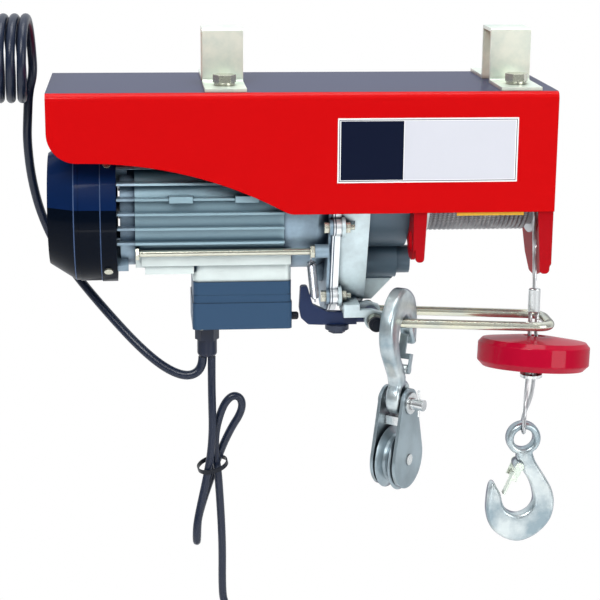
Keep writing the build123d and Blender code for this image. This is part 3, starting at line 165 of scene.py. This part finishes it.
def material(name, color, rough=0.4, metal=0.0, coat=0.0, edge=0.0, grain=None, speckle=None, tintTo=None,
             gloss=0.5, shade=None, paintedLightZone=None, glancingPaintedTone=None, paintedLightBands=None):
    """A principled material. Grain and speckle are (scale, amount), shade is (reach, colour) of painted shade in its
    hollows, zone is (x, z, colour) of painted light and shade right of and above a place, grazing the colour painted
    where the surface is seen along it, and bands (places along X, half width, colour) of painted light and shade lines."""
    made = bpy.data.materials.new(name)
    made.use_nodes = True
    tree = made.node_tree
    shader = tree.nodes["Principled BSDF"]
    here = Wire(tree, None)
    place = here.node("ShaderNodeTexCoord", output=3)
    feed = here.feed
    base = color
    if speckle:
        share = place.noise(speckle[0], 4.0, 0.6).ramp(0.35, 0.65)
        base = share.mix(color, tintTo or tuple(c * (1 - speckle[1]) for c in color))
    # Painted light and shade: one colour right of and above a place.
    if paintedLightZone:
        base = ((place.axis(0) > paintedLightZone[0] * MM) * (place.axis(2) > paintedLightZone[1] * MM)).mix(base, paintedLightZone[2])
    # Painted light and shade: lines of one colour at places along X.
    for at in paintedLightBands[0] if paintedLightBands else ():
        near = (place.axis(0) - at * MM).sum("ABSOLUTE").sum("LESS_THAN", paintedLightBands[1] * MM)
        base = near.mix(base, paintedLightBands[2])
    # Painted reflection and painted dark rims: one colour where the surface is seen at a glancing angle.
    if glancingPaintedTone:
        base = here.node("ShaderNodeLayerWeight", {"Blend": 0.5}, output=1).ramp(0.66, 0.76).mix(base, glancingPaintedTone)
    # Painted shade: the hollows darkened by ambient occlusion.
    if shade:
        hollow = here.node("ShaderNodeAmbientOcclusion", {"Distance": shade[0] * MM}, output=1).ramp(0.35, 0.85)
        base = hollow.mix(shade[1], base)
    feed(shader.inputs["Base Color"], base)
    feed(shader.inputs["Specular IOR Level"], gloss)
    feed(shader.inputs["Roughness"], rough)
    feed(shader.inputs["Metallic"], metal)
    feed(shader.inputs["Coat Weight"], coat)
    feed(shader.inputs["Coat Roughness"], 0.06)
    normal = here.node("ShaderNodeBevel", {"Radius": edge * MM}) if edge else None
    if grain:
        normal = place.noise(grain[0], 5.0, 0.65).bump(grain[1], 0.5, normal)
    if normal:
        feed(shader.inputs["Normal"], normal)
    made.diffuse_color = (*color, 1)
    MATERIALS[name] = made
    return made


# Each shade= below is painted shade that darkens the hollows.
def makeMaterials():
    # Painted reflection: the red cover turns grey-blue where it is seen at a glancing angle, as on its top.
    material("redPaint", (0.5, 0.0006, 0.0016), 0.5, coat=0.2, edge=1.2, grain=(180, 0.015), gloss=0.04,
             glancingPaintedTone=(0.035, 0.04, 0.085))
    # A darker copy of the red paint on the plates' legs: painted shade.
    material("redPaintShaded", (0.36, 0.001, 0.005), 0.5, coat=0.12, edge=0.8, gloss=0.05)
    material("weightRed", (0.38, 0.0005, 0.02), 0.5, coat=0.3, edge=0.8, gloss=0.04)
    # Painted sheen: the fan cover is bluer above z -100. Painted highlights: two pale lines on its step edges.
    material("blackGloss", (0.001, 0.003, 0.008), 0.3, coat=0.07, edge=0.8, gloss=0.03,
             paintedLightZone=(-1000, -100, (0.003, 0.014, 0.06)), paintedLightBands=((-253.6, -231.2), 0.45, (0.06, 0.1, 0.2)))
    # Painted shade: the gearbox bosses right of x -0.5 and above z -177 are darker.
    material("castAluminium", (0.66, 0.78, 0.81), 0.36, 0.4, edge=0.8, grain=(420, 0.25), speckle=(60, 0.2),
             shade=(9, (0.04, 0.07, 0.1)), paintedLightZone=(-0.5, -177, (0.08, 0.12, 0.155)))
    # Painted shade: the motor body above z -141.5 is darker and bluer.
    material("finAluminium", (0.72, 0.8, 0.78), 0.4, 0.3, edge=0.5, grain=(300, 0.15), speckle=(24, 0.1),
             shade=(9, (0.02, 0.05, 0.08)), paintedLightZone=(-1000, -141.5, (0.27, 0.4, 0.46)))
    material("bellAluminium", (0.3, 0.41, 0.5), 0.42, 0.5, edge=1.0, grain=(380, 0.3), speckle=(50, 0.3),
             shade=(10, (0.02, 0.04, 0.07)))
    # Painted shade: two dark lines in the seams between the gear flange's plates.
    material("cutAluminium", (0.84, 0.87, 0.88), 0.3, 0.6, edge=0.4, grain=(600, 0.06), shade=(5, (0.1, 0.13, 0.16)),
             paintedLightBands=((-31.4, -33.4), 0.5, (0.08, 0.11, 0.15)))
    material("zinc", (0.86, 0.9, 0.78), 0.3, 0.5, edge=0.5, speckle=(30, 0.2), tintTo=(0.6, 0.7, 0.62),
             shade=(6, (0.1, 0.1, 0.06)))
    material("boltZinc", (0.62, 0.62, 0.52), 0.24, 0.85, edge=0.5, shade=(4, (0.06, 0.06, 0.05)))
    # Painted dark rims where the bail is seen at a glancing angle.
    material("bailZinc", (0.72, 0.7, 0.54), 0.24, 0.8, glancingPaintedTone=(0.1, 0.1, 0.06), speckle=(40, 0.2),
             tintTo=(0.55, 0.58, 0.52))
    # Painted dark rims where the hooks are seen at a glancing angle.
    material("galvanised", (0.62, 0.68, 0.68), 0.3, 0.7, glancingPaintedTone=(0.07, 0.08, 0.14), grain=(240, 0.14),
             speckle=(38, 0.25),
             tintTo=(0.28, 0.36, 0.4), shade=(7, (0.06, 0.08, 0.1)))
    # Painted dark rims where the block's plates, sheave and latch are seen at a glancing angle.
    material("blockSteel", (0.36, 0.44, 0.48), 0.32, 0.7, glancingPaintedTone=(0.05, 0.07, 0.1), edge=0.6,
             grain=(200, 0.1), speckle=(30, 0.25),
             shade=(6, (0.05, 0.07, 0.09)))
    material("brightSteel", (0.72, 0.74, 0.74), 0.24, 0.9, edge=0.3, shade=(3, (0.1, 0.1, 0.1)))
    material("darkIron", (0.05, 0.06, 0.09), 0.4, 0.6, edge=0.5, grain=(260, 0.12))
    material("gearSteel", (0.3, 0.31, 0.33), 0.35, 0.9, edge=0.3)
    material("copper", (0.62, 0.26, 0.1), 0.35, 0.9, grain=(500, 0.2))
    material("bronze", (0.6, 0.42, 0.14), 0.3, 0.95, edge=0.3)
    material("boxGrey", (0.026, 0.066, 0.13), 0.4, 0.1, gloss=0.2, coat=0.1, edge=1.4, grain=(220, 0.06),
             shade=(5, (0.006, 0.012, 0.03)))
    material("navySteel", (0.008, 0.02, 0.07), 0.34, 0.1, coat=0.2, edge=0.8, gloss=0.25)
    material("blackNylon", (0.004, 0.006, 0.012), 0.34, edge=0.5, gloss=0.25)
    material("glandBlack", (0.006, 0.011, 0.03), 0.3, edge=0.5, gloss=0.35)
    material("cordRubber", (0.007, 0.013, 0.032), 0.32, grain=(300, 0.04), gloss=0.4)
    material("yellowStrip", (0.72, 0.42, 0.015), 0.5)
    material("pendantYellow", (0.76, 0.44, 0.02), 0.36, edge=1.0, grain=(300, 0.05))
    material("whitePlastic", (0.76, 0.76, 0.72), 0.3, edge=0.4)
    material("redPlastic", (0.6, 0.012, 0.012), 0.28, edge=0.6)
    material("ropeWire", (0.56, 0.57, 0.58), 0.3, 0.9)
    material("drumSteel", (0.5, 0.51, 0.52), 0.3, 0.95, edge=0.5)
    material("plateWhite", (0.8, 0.8, 0.8), 0.35)
    material("plateNavy", (0.002, 0.005, 0.02), 0.4, gloss=0.1)
    material("plateGrey", (0.56, 0.57, 0.62), 0.4)
    material("springSteel", (0.5, 0.52, 0.56), 0.22, 0.95)


NODE_MATERIALS = {
    "redPaint": ["cover_shell"],
    "redPaintShaded": ["drum_plate_left", "end_plate_right"],
    "yellowStrip": ["rope_guard"],
    "zinc": ["clamp_strap_left", "clamp_strap_right", "load_latch"],
    "boltZinc": ["clamp_bolts", "case_screws", "tie_rods", "gearbox_bolts"],
    "blackGloss": ["fan_cover"],
    "blackNylon": ["fan", "limit_switch", "switch_plunger", "pivot_pin", "mains_plug", "cord_tie", "down_button"],
    "bellAluminium": ["rear_bell", "front_bell"],
    "finAluminium": ["stator_housing"],
    "cutAluminium": ["gear_flange"],
    "castAluminium": ["gearbox_case"],
    "copper": ["stator_core"],
    "gearSteel": ["rotor", "counter_gear", "output_gear"],
    "brightSteel": ["motor_bearings", "drum_bearings", "rope_sleeves", "block_pins"],
    "bronze": ["gear_bearings"],
    "drumSteel": ["drum"],
    "ropeWire": ["rope_winding", "rope_fall", "rope_eye"],
    "boxGrey": ["box_base", "box_lid"],
    "whitePlastic": ["capacitor", "up_button"],
    "glandBlack": ["cable_gland", "gland_nut"],
    "navySteel": ["limit_lever"],
    "darkIron": ["lever_bolt"],
    "bailZinc": ["bail"],
    "springSteel": ["lever_spring"],
    "weightRed": ["weight"],
    "galvanised": ["load_hook", "block_hook"],
    "blockSteel": ["block_plates", "sheave", "block_latch"],
    "cordRubber": ["mains_cord", "mains_coil", "pendant_cord", "pendant_coil"],
    "pendantYellow": ["pendant_housing"],
    "redPlastic": ["stop_button"],
}


def paintNodes():
    for name, members in NODE_MATERIALS.items():
        for node in members:
            data = nodes[node].data
            if not data.materials:
                data.materials.append(None)
            for index in range(len(data.materials)):
                data.materials[index] = MATERIALS[name]
            bpy.context.view_layer.objects.active = nodes[node]
            data.shade_smooth()
            data.set_sharp_from_angle(angle=radians(32))


# --- making pieces

def piece(name, points, faces, paint, body, replaced=(), smooth=32):
    data = bpy.data.meshes.new(name)
    data.from_pydata([tuple(p) for p in points], [], faces)
    data.materials.append(MATERIALS[paint])
    return finishPiece(name, data, body, replaced, smooth)


def finishPiece(name, data, body, replaced=(), smooth=32):
    data.validate()
    solid = bmesh.new()
    solid.from_mesh(data)
    bmesh.ops.recalc_face_normals(solid, faces=solid.faces)
    solid.to_mesh(data)
    solid.free()
    data.shade_smooth()
    if smooth:
        data.set_sharp_from_angle(angle=radians(smooth))
    made = bpy.data.objects.new(name, data)
    collection.objects.link(made)
    if body:
        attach(made, body)
    if replaced:
        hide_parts(*replaced)
    return made


def joinParts(parts):
    """Several (points, faces) lists as one."""
    points, faces = [], []
    for somePoints, someFaces in parts:
        first = len(points)
        points += somePoints
        faces += [[first + i for i in face] for face in someFaces]
    return points, faces


def ringGrid(rings, closed=False, capped=True):
    """Faces between rings of equal length."""
    points = [p for ring in rings for p in ring]
    count = len(rings[0])
    faces = []
    for i in range(len(rings) if closed else len(rings) - 1):
        for j in range(count):
            k = (j + 1) % count
            nextRing = (i + 1) % len(rings)
            faces.append([i * count + j, i * count + k, nextRing * count + k, nextRing * count + j])
    if capped and not closed:
        faces.append(list(range(count))[::-1])
        faces.append([(len(rings) - 1) * count + j for j in range(count)])
    return points, faces


def lathe(profile, centre, axis="X", sides=64):
    """A closed profile of (along, radius) in millimetres, turned about a line along an axis."""
    rings = []
    for i in range(sides):
        a = 2 * pi * i / sides
        ring = []
        for along, radius in profile:
            c, s = radius * cos(a), radius * sin(a)
            ring.append(mm(*centre) + {"X": mm(along, c, s), "Y": mm(c, along, s), "Z": mm(c, s, along)}[axis])
        rings.append(ring)
    return ringGrid(rings, closed=True)


def cuboid(x0, x1, y0, y1, z0, z1):
    points = [mm(x, y, z) for x in (x0, x1) for y in (y0, y1) for z in (z0, z1)]
    return points, [[0, 1, 3, 2], [4, 6, 7, 5], [0, 4, 5, 1], [2, 3, 7, 6], [0, 2, 6, 4], [1, 5, 7, 3]]


def frames(path):
    """A tangent and two side vectors for each point of a path, without twist."""
    result = []
    side = None
    for i, p in enumerate(path):
        tangent = (path[min(i + 1, len(path) - 1)] - path[max(i - 1, 0)]).normalized()
        if side is None:
            side = tangent.orthogonal().normalized()
        side = (side - tangent * side.dot(tangent)).normalized()
        result.append((tangent, side, tangent.cross(side)))
    return result


def tube(path, radius, sides=12):
    rings = []
    for p, (_, u, v) in zip(path, frames(path)):
        rings.append([p + (u * cos(2 * pi * j / sides) + v * sin(2 * pi * j / sides)) * radius for j in range(sides)])
    return ringGrid(rings)


def smoothPath(points, step):
    """A path through the points, sampled about every step, by Catmull-Rom."""
    result = []
    for i in range(len(points) - 1):
        a, b, c, d = points[max(i - 1, 0)], points[i], points[i + 1], points[min(i + 2, len(points) - 1)]
        count = max(2, math.ceil((c - b).length / step))
        for k in range(count):
            t = k / count
            result.append(0.5 * (2 * b + (c - a) * t + (2 * a - 5 * b + 4 * c - d) * t * t
                                 + (3 * b - a - 3 * c + d) * t ** 3))
    result.append(points[-1])
    return result


def laidRope(path, radius, lay, strands=6):
    """A wire rope's strands, twisted round a path."""
    parts = []
    strand = radius / (1 + 1 / sin(pi / strands)) * 1.06
    offset = radius - strand
    sides = frames(path)
    distance = 0.0
    angles = []
    for i, p in enumerate(path):
        if i:
            distance += (p - path[i - 1]).length
        angles.append(2 * pi * distance / lay)
    for k in range(strands):
        line = [p + (u * cos(a + 2 * pi * k / strands) + v * sin(a + 2 * pi * k / strands)) * offset
                for p, (_, u, v), a in zip(path, sides, angles)]
        parts.append(tube(line, strand, 6))
    parts.append(tube(path, offset, 6))
    return joinParts(parts)


# --- ropes

ROPE = {"radius": 2.0, "lay": 15, "fallTop": (146.6, -38, -93), "fallLow": (150.6, -38, -179.9), "turns": 22,
        "left": 54.4, "pitch": 4.06, "centre": -93, "mean": 38}


def ropeOnDrum():
    """The turns side by side, as one ridged sleeve with a laid surface, and the lap that leads to the fall."""
    profile = [(ROPE["left"], 28)]
    radius = ROPE["radius"]
    for i in range(ROPE["turns"]):
        middle = ROPE["left"] + radius + i * ROPE["pitch"]
        for k in range(1, 8):
            a = pi * k / 8
            profile.append((middle - radius * cos(a), ROPE["mean"] + radius * sin(a) - 0.1))
    end = ROPE["left"] + ROPE["turns"] * ROPE["pitch"]
    profile += [(end, 35.5), (149.8, 35.5), (149.8, 28)]
    points, faces = lathe(profile, (0, 0, ROPE["centre"]), sides=120)
    made = piece("ropeTurns", points, faces, "ropeLaid", "drum_body", ("rope_winding",), smooth=60)
    return made


def ropeMaterial():
    """Strands as slanting stripes across each turn, with painted shade in the grooves between them."""
    made = material("ropeLaid", (0.5, 0.5, 0.5), 0.34, 0.85)
    tree = made.node_tree
    shader = tree.nodes["Principled BSDF"]
    here = Wire(tree, None)
    place = here.node("ShaderNodeTexCoord", output=3)
    angle = (place.axis(2) - ROPE["centre"] * MM).sum("ARCTAN2", place.axis(1))
    across = place.axis(0) * (2 * pi / (ROPE["pitch"] * MM))
    stripes = (angle * 110 + across * 0.85).sum("SINE").ramp(-1, 1)
    dirt = place.noise(60).ramp(0.3, 0.7)
    tone = dirt.mix((0.4, 0.4, 0.4), (0.2, 0.2, 0.22))
    # Painted shade: the dark part of the stripes darkens the grooves between strands, over a dirt tone that varies at
    # random.
    here.feed(shader.inputs["Base Color"], stripes.ramp(0.0, 0.6).mix((0.1, 0.1, 0.11), tone))
    here.feed(shader.inputs["Normal"], stripes.bump(0.8, 0.5))


def ropeFall():
    top, low = mm(*ROPE["fallTop"]), mm(*ROPE["fallLow"])
    path = smoothPath([top, low], 0.0012)
    points, faces = laidRope(path, ROPE["radius"] * MM, ROPE["lay"] * MM)
    made = piece("ropeFallWire", points, faces, "ropeWire", None, ("rope_fall",), smooth=50)
    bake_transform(made)


LOOP = {"x": 150.6, "y": -38, "top": -202.1, "hookX": 145.6, "eye": -313.5}


def ropeLoop():
    """The doubled rope below the ferrule, through the weight and round through the hook's eye."""
    x, y, top, hx, eye = (LOOP[k] for k in ("x", "y", "top", "hookX", "eye"))
    line = [(x - 3, y, top), (x - 3, y, top - 30), (x - 3, y, top - 56), (x - 4.6, y - 3, top - 78),
            (hx - 1.6, y - 9, eye + 10), (hx - 1, y - 6.3, eye + 1.4), (hx, y, eye), (hx + 1, y + 6.3, eye + 1.4),
            (hx + 1.6, y + 9, eye + 10), (x + 1.6, y + 3, top - 78), (x + 3, y, top - 56), (x + 3, y, top - 30),
            (x + 3, y, top)]
    path = smoothPath([mm(*p) for p in line], 0.0014)
    points, faces = laidRope(path, ROPE["radius"] * MM * 0.95, ROPE["lay"] * MM)
    piece("ropeLoopWire", points, faces, "ropeWire", "load_line", ("rope_eye",), smooth=50)


# --- hooks

HOOK = {"eye": 15.7, "hole": 9.2, "thick": 13.0, "round": 3.6}
HOOK_LOAD = {"place": (145.6, -38, -319.8), "tilt": -1.5}
HOOK_BLOCK = {"place": (26, -60.4, -203.472), "turn": 60, "tilt": -4.4, "eye": (-4.7, 0, -67.35)}


def hookOutline():
    outer = [(9.6, -17.5), (11.2, -22), (15.0, -28.6), (21.2, -39), (26.9, -50.5), (29.0, -64),
             (25.2, -79.4), (13.4, -92.4),
             (-2.4, -98.8), (-16.6, -95.4), (-28.9, -85), (-33.6, -71), (-33.5, -57), (-32.0, -46), (-30.3, -41.6),
             (-28.2, -40.3), (-26.2, -41.6), (-24.6, -45)]
    inside = [(-20.8, -52.5), (-18.9, -61), (-14.4, -68.8), (-5, -72.8), (4.7, -69), (9.6, -61), (9.0, -51.4),
              (5.6, -40.9), (0.3, -31.8), (-4.6, -22), (-6.2, -17.6)]
    eye = []
    for k in range(21):
        a = radians(249 - k * (249 + 57) / 20)
        eye.append((HOOK["eye"] * cos(a), HOOK["eye"] * sin(a)))
    corners = [Vector((x, z, 0)) for x, z in outer + inside + eye]
    corners.append(corners[0])
    return smoothPath(corners, 2.2)[:-1]


def roundedSheet(loop, holes, half, rounding, steps=4):
    """A flat shape with rounded rims, in the plane of X and Z, from loops of 2-D points in millimetres."""
    mesh = bmesh.new()
    rims = {-1: [], 1: []}
    for number, line in enumerate([loop] + holes):
        count = len(line)
        normals = []
        for i in range(count):
            t = (line[(i + 1) % count] - line[i - 1]).normalized()
            normals.append(Vector((-t.y, t.x, 0)))
        area = sum(line[i].x * line[(i + 1) % count].y - line[(i + 1) % count].x * line[i].y for i in range(count))
        inward = 1 if (area > 0) == (number == 0) else -1
        rows = []
        for side in (-1, 1):
            order = range(steps + 1) if side < 0 else range(steps, -1, -1)
            for k in order:
                a = pi / 2 * k / steps
                inset = rounding * (1 - sin(a))
                y = side * (half - rounding * (1 - cos(a)))
                shift = inset * inward
                rows.append([mesh.verts.new(mm(p.x + n.x * shift, y, p.y + n.y * shift))
                             for p, n in zip(line, normals)])
        for row, nextRow in zip(rows, rows[1:]):
            for i in range(count):
                j = (i + 1) % count
                mesh.faces.new((row[i], row[j], nextRow[j], nextRow[i]))
        rims[-1].append(rows[0])
        rims[1].append(rows[-1])
    for side in (-1, 1):
        edges = []
        for row in rims[side]:
            for i in range(len(row)):
                edges.append(mesh.edges.get((row[i], row[(i + 1) % len(row)])))
        bmesh.ops.triangle_fill(mesh, use_beauty=True, use_dissolve=False, edges=edges)
    return mesh


def hookBody(name, place, body, replaced):
    hole = [Vector((HOOK["hole"] * cos(2 * pi * k / 40), HOOK["hole"] * sin(2 * pi * k / 40), 0)) for k in range(40)]
    mesh = roundedSheet(hookOutline(), [hole], HOOK["thick"] / 2, HOOK["round"], 5)
    ears = lathe([(-8, 0), (-8, 3.6), (-7.4, 4.2), (7.4, 4.2), (8, 3.6), (8, 0)], (-4.6, 0, -25), "Y", 24)
    mesh.transform(place)
    data = bpy.data.meshes.new(name)
    mesh.to_mesh(data)
    mesh.free()
    earData = bpy.data.meshes.new(name + "Ears")
    earData.from_pydata([tuple(place @ p) for p in ears[0]], [], ears[1])
    both = bmesh.new()
    both.from_mesh(data)
    both.from_mesh(earData)
    both.to_mesh(data)
    both.free()
    data.materials.append(MATERIALS["galvanised"])
    return finishPiece(name, data, body, replaced, smooth=45)


def loadHookPlace():
    return Matrix.Translation(mm(*HOOK_LOAD["place"])) @ Matrix.Rotation(radians(HOOK_LOAD["tilt"]), 4, "Y")


def blockHookPlace():
    turn = Matrix.Rotation(radians(HOOK_BLOCK["turn"]), 4, "Z") @ Matrix.Rotation(radians(HOOK_BLOCK["tilt"]), 4, "Y")
    eye = Matrix.Translation(mm(*HOOK_BLOCK["eye"])) @ Matrix.Rotation(pi, 4, "Y")
    return Matrix.Translation(mm(*HOOK_BLOCK["place"])) @ turn @ eye


# --- cords

MAINS = {
    "radius": 4.0,
    "route": [(-144, -20, -242), (-144.1, -20, -253.5), (-157, -21.6, -261), (-177, -17, -254), (-200, -8, -236),
              (-226, 14, -212), (-252, 38, -186), (-272, 59, -163), (-287, 57, -128), (-294, 44, -92),
              (-296, 31, -56), (-294.6, 27, -34), (-293, 26.4, -11.2)],
    "coilX": -289.0, "pitch": 9.4, "turns": 6, "mean": 34.4, "centre": 20.9, "length": 1.8,
}
PENDANT = {
    "radius": 3.6,
    "route": [(-136, -20.5, -242), (-136.2, -20.7, -262), (-136, -24, -287), (-135.6, -24.6, -310), (-137.5, -25, -334),
              (-142, -25.5, -358), (-147.5, -26.5, -383), (-150.6, -29, -398), (-151.2, -29.2, -409),
              (-150.8, -24.6, -418), (-150, -15.4, -418), (-149.6, -10.8, -409), (-148.6, -11, -398),
              (-143, -11.6, -378),
              (-134.6, -12.2, -353), (-127, -12.4, -331), (-118.5, -14, -312), (-110.8, -16, -299),
              (-108.2, -17.2, -289), (-110.8, -18, -281.4), (-117.4, -18.4, -279.6), (-124, -18.4, -286),
              (-128.6, -18, -297), (-132.6, -17.4, -313), (-133.6, -18, -331), (-130.8, -19.6, -352),
              (-129.4, -19.6, -374),
              (-127.9, -19.7, -402), (-127.2, -20, -430), (-127.6, -20.2, -460), (-126.5, -20, -480)],
    "centre": (-127.5, -20, -535), "outer": 38.4, "inner": 31.4, "length": 1.5,
}


def cordCurve(name, points, radius, paint):
    curve = bpy.data.curves.new(name, "CURVE")
    curve.dimensions = "3D"
    curve.bevel_depth = radius * MM
    curve.bevel_resolution = 5
    curve.resolution_u = 8
    curve.use_fill_caps = True
    spline = curve.splines.new("NURBS")
    spline.points.add(len(points) - 1)
    for point, place in zip(spline.points, points):
        point.co = (*mm(*place), 1)
    spline.order_u = 3
    spline.use_endpoint_u = True
    curve.materials.append(MATERIALS[paint])
    made = bpy.data.objects.new(name, curve)
    collection.objects.link(made)
    return made


def mainsPoints():
    points = list(MAINS["route"])
    mean = MAINS["mean"] * 1.03
    perTurn = 12
    steps = MAINS["turns"] * perTurn
    first = -26
    for k in range(steps + 9):
        angle = first + 30 * k
        share = min(k / steps, 1.0)
        reach = mean + max(0, 4.5 - 3.2 * k)
        points.append((MAINS["coilX"] - share * MAINS["pitch"] * MAINS["turns"], reach * cos(radians(angle)),
                       MAINS["centre"] + reach * sin(radians(angle))))
    end = MAINS["coilX"] - MAINS["pitch"] * MAINS["turns"]
    points += [(end - 3, -6, -13.4), (end - 10, -1, -14), (end - 21, 0, -14.6), (end - 30, 0, -24), (end - 30, 0, -39)]
    return points


def mainsLead():
    lead = cordCurve("mainsLead", mainsPoints(), MAINS["radius"], "cordRubber")
    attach(lead, "frame")
    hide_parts("mains_cord", "mains_coil")
    mm(*MAINS["route"][0])


def pendantPoints():
    points = list(PENDANT["route"])
    x, y, z = PENDANT["centre"]
    layers = [(PENDANT["outer"], -7.0), (PENDANT["outer"], 0.4), (PENDANT["inner"], 0.4), (PENDANT["inner"], -7.0)]
    points.append((x + 9, y - 3, z + 46))
    for k in range(4 * 12 + 2):
        angle = 60 - 30 * k
        turn = min(k / 12, 3.99)
        number = int(turn)
        share = max(0.0, (turn - number - 0.5) * 2)
        near, far = layers[number], layers[min(number + 1, 3)]
        reach = (near[0] + (far[0] - near[0]) * share) * 1.03
        depth = near[1] + (far[1] - near[1]) * share + 3.4
        points.append((x + reach * cos(radians(angle)), y + depth, z + reach * sin(radians(angle))))
    points += [(x + 27, y - 2, z - 27), (x + 14, y, z - 44), (x + 2, y, z - 54), (x, y, z - 62), (x, y, -605.6)]
    return points


def pendantLead():
    lead = cordCurve("pendantLead", pendantPoints(), PENDANT["radius"], "cordRubber")
    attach(lead, "frame")
    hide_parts("pendant_cord", "pendant_coil")
    mm(*PENDANT["route"][0])


# --- small pieces

SPRING = {"top": (-51.5, -55, -144.6), "low": (-46, -44, -187.5), "radius": 3.5, "wire": 0.7, "turns": 27, "hook": 5.5}


def leverSpring():
    top, low = mm(*SPRING["top"]), mm(*SPRING["low"])
    along = (low - top).normalized()
    side = along.orthogonal().normalized()
    other = along.cross(side)
    start, end = top + along * SPRING["hook"] * MM, low - along * SPRING["hook"] * MM
    steps = SPRING["turns"] * 14
    path = [top, top + along * SPRING["hook"] * 0.5 * MM]
    for i in range(steps + 1):
        a = 2 * pi * SPRING["turns"] * i / steps
        path.append(start + (end - start) * i / steps + (side * cos(a) + other * sin(a)) * SPRING["radius"] * MM)
    path += [low - along * SPRING["hook"] * 0.5 * MM, low]
    points, faces = tube(path, SPRING["wire"] * MM, 6)
    made = piece("springCoil", points, faces, "springSteel", None, ("lever_spring",), smooth=50)
    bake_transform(made)


PLATE = {"left": -31.7, "right": 121.9, "top": -21.5, "low": -76.3, "split": 24.1, "front": -75.0, "thick": 0.7}


def ratingPlate():
    """A bare two-tone plate in a dark border line: dark on the left, pale on the right, with no words."""
    x0, x1, z0, z1, front = PLATE["left"], PLATE["right"], PLATE["low"], PLATE["top"], PLATE["front"]
    t = PLATE["thick"]
    points, faces = cuboid(x0, x1, front - t, front, z0, z1)
    piece("plateBase", points, faces, "plateWhite", "frame")
    points, faces = cuboid(x0 + 1.2, x1 - 1.2, front - t - 0.06, front - t + 0.1, z0 + 1.2, z1 - 1.2)
    piece("plateLine", points, faces, "plateNavy", "frame")
    points, faces = cuboid(x0 + 1.8, x1 - 1.8, front - t - 0.09, front - t + 0.1, z0 + 1.8, z1 - 1.8)
    piece("plateRim", points, faces, "plateWhite", "frame")
    points, faces = cuboid(x0 + 2.6, PLATE["split"], front - t - 0.12, front - t + 0.1, z0 + 2.4, z1 - 2.4)
    piece("plateDark", points, faces, "plateNavy", "frame")
    points, faces = cuboid(PLATE["split"] + 0.6, x1 - 2.6, front - t - 0.12, front - t + 0.1, z0 + 2.4, z1 - 2.4)
    piece("platePale", points, faces, "plateGrey", "frame")


def roomStage():
    points, faces = cuboid(-ROOM["half"], ROOM["half"], -ROOM["half"], ROOM["back"],
                           ROOM["floor"] - ROOM["thick"], ROOM["floor"])
    data = bpy.data.meshes.new("floor")
    data.from_pydata([tuple(p) for p in points], [], faces)
    white = material("floorWhite", (0.82, 0.82, 0.82), 0.7, gloss=0.0)
    paint = Wire(white.node_tree, None)
    shader = white.node_tree.nodes["Principled BSDF"]
    seen = paint.node("ShaderNodeLightPath", output=0)
    paint.feed(shader.inputs["Base Color"], seen.mix((0.82, 0.82, 0.82), (0.0, 0.0, 0.0)))
    paint.feed(shader.inputs["Emission Color"], (1.0, 1.0, 1.0))
    paint.feed(shader.inputs["Emission Strength"], seen)
    data.materials.append(white)
    floor = bpy.data.objects.new("floor", data)
    collection.objects.link(floor)
    world = bpy.data.worlds.new("world")
    bpy.context.scene.world = world
    world.use_nodes = True
    tree = world.node_tree
    here = Wire(tree, None)
    back = tree.nodes["Background"]
    seen = here.node("ShaderNodeLightPath", output=0)
    way = here.node("ShaderNodeTexCoord", output=0)
    bright = way.axis(1).ramp(-0.3, 0.45, 0.14, 0.9) + way.axis(2).ramp(0.25, 0.9, 0.0, 0.5)
    here.feed(back.inputs["Color"], seen.mix((0.93, 0.96, 1.0), (1.0, 1.0, 1.0)))
    here.feed(back.inputs["Strength"], seen + (seen * -1.0 + 1.0) * bright)


addCamera()
addLights()
makeMaterials()
roomStage()
paintNodes()
print("room and paint")
ropeMaterial()
ropeOnDrum()
ropeFall()
ropeLoop()
print("ropes")
hookBody("loadHookForged", loadHookPlace(), "load_hook_body", ("load_hook",))
hookBody("blockHookForged", blockHookPlace(), "block_hook_body", ("block_hook",))
print("hooks")
mainsLead()
pendantLead()
print("cords")
leverSpring()
ratingPlate()
print("small pieces")
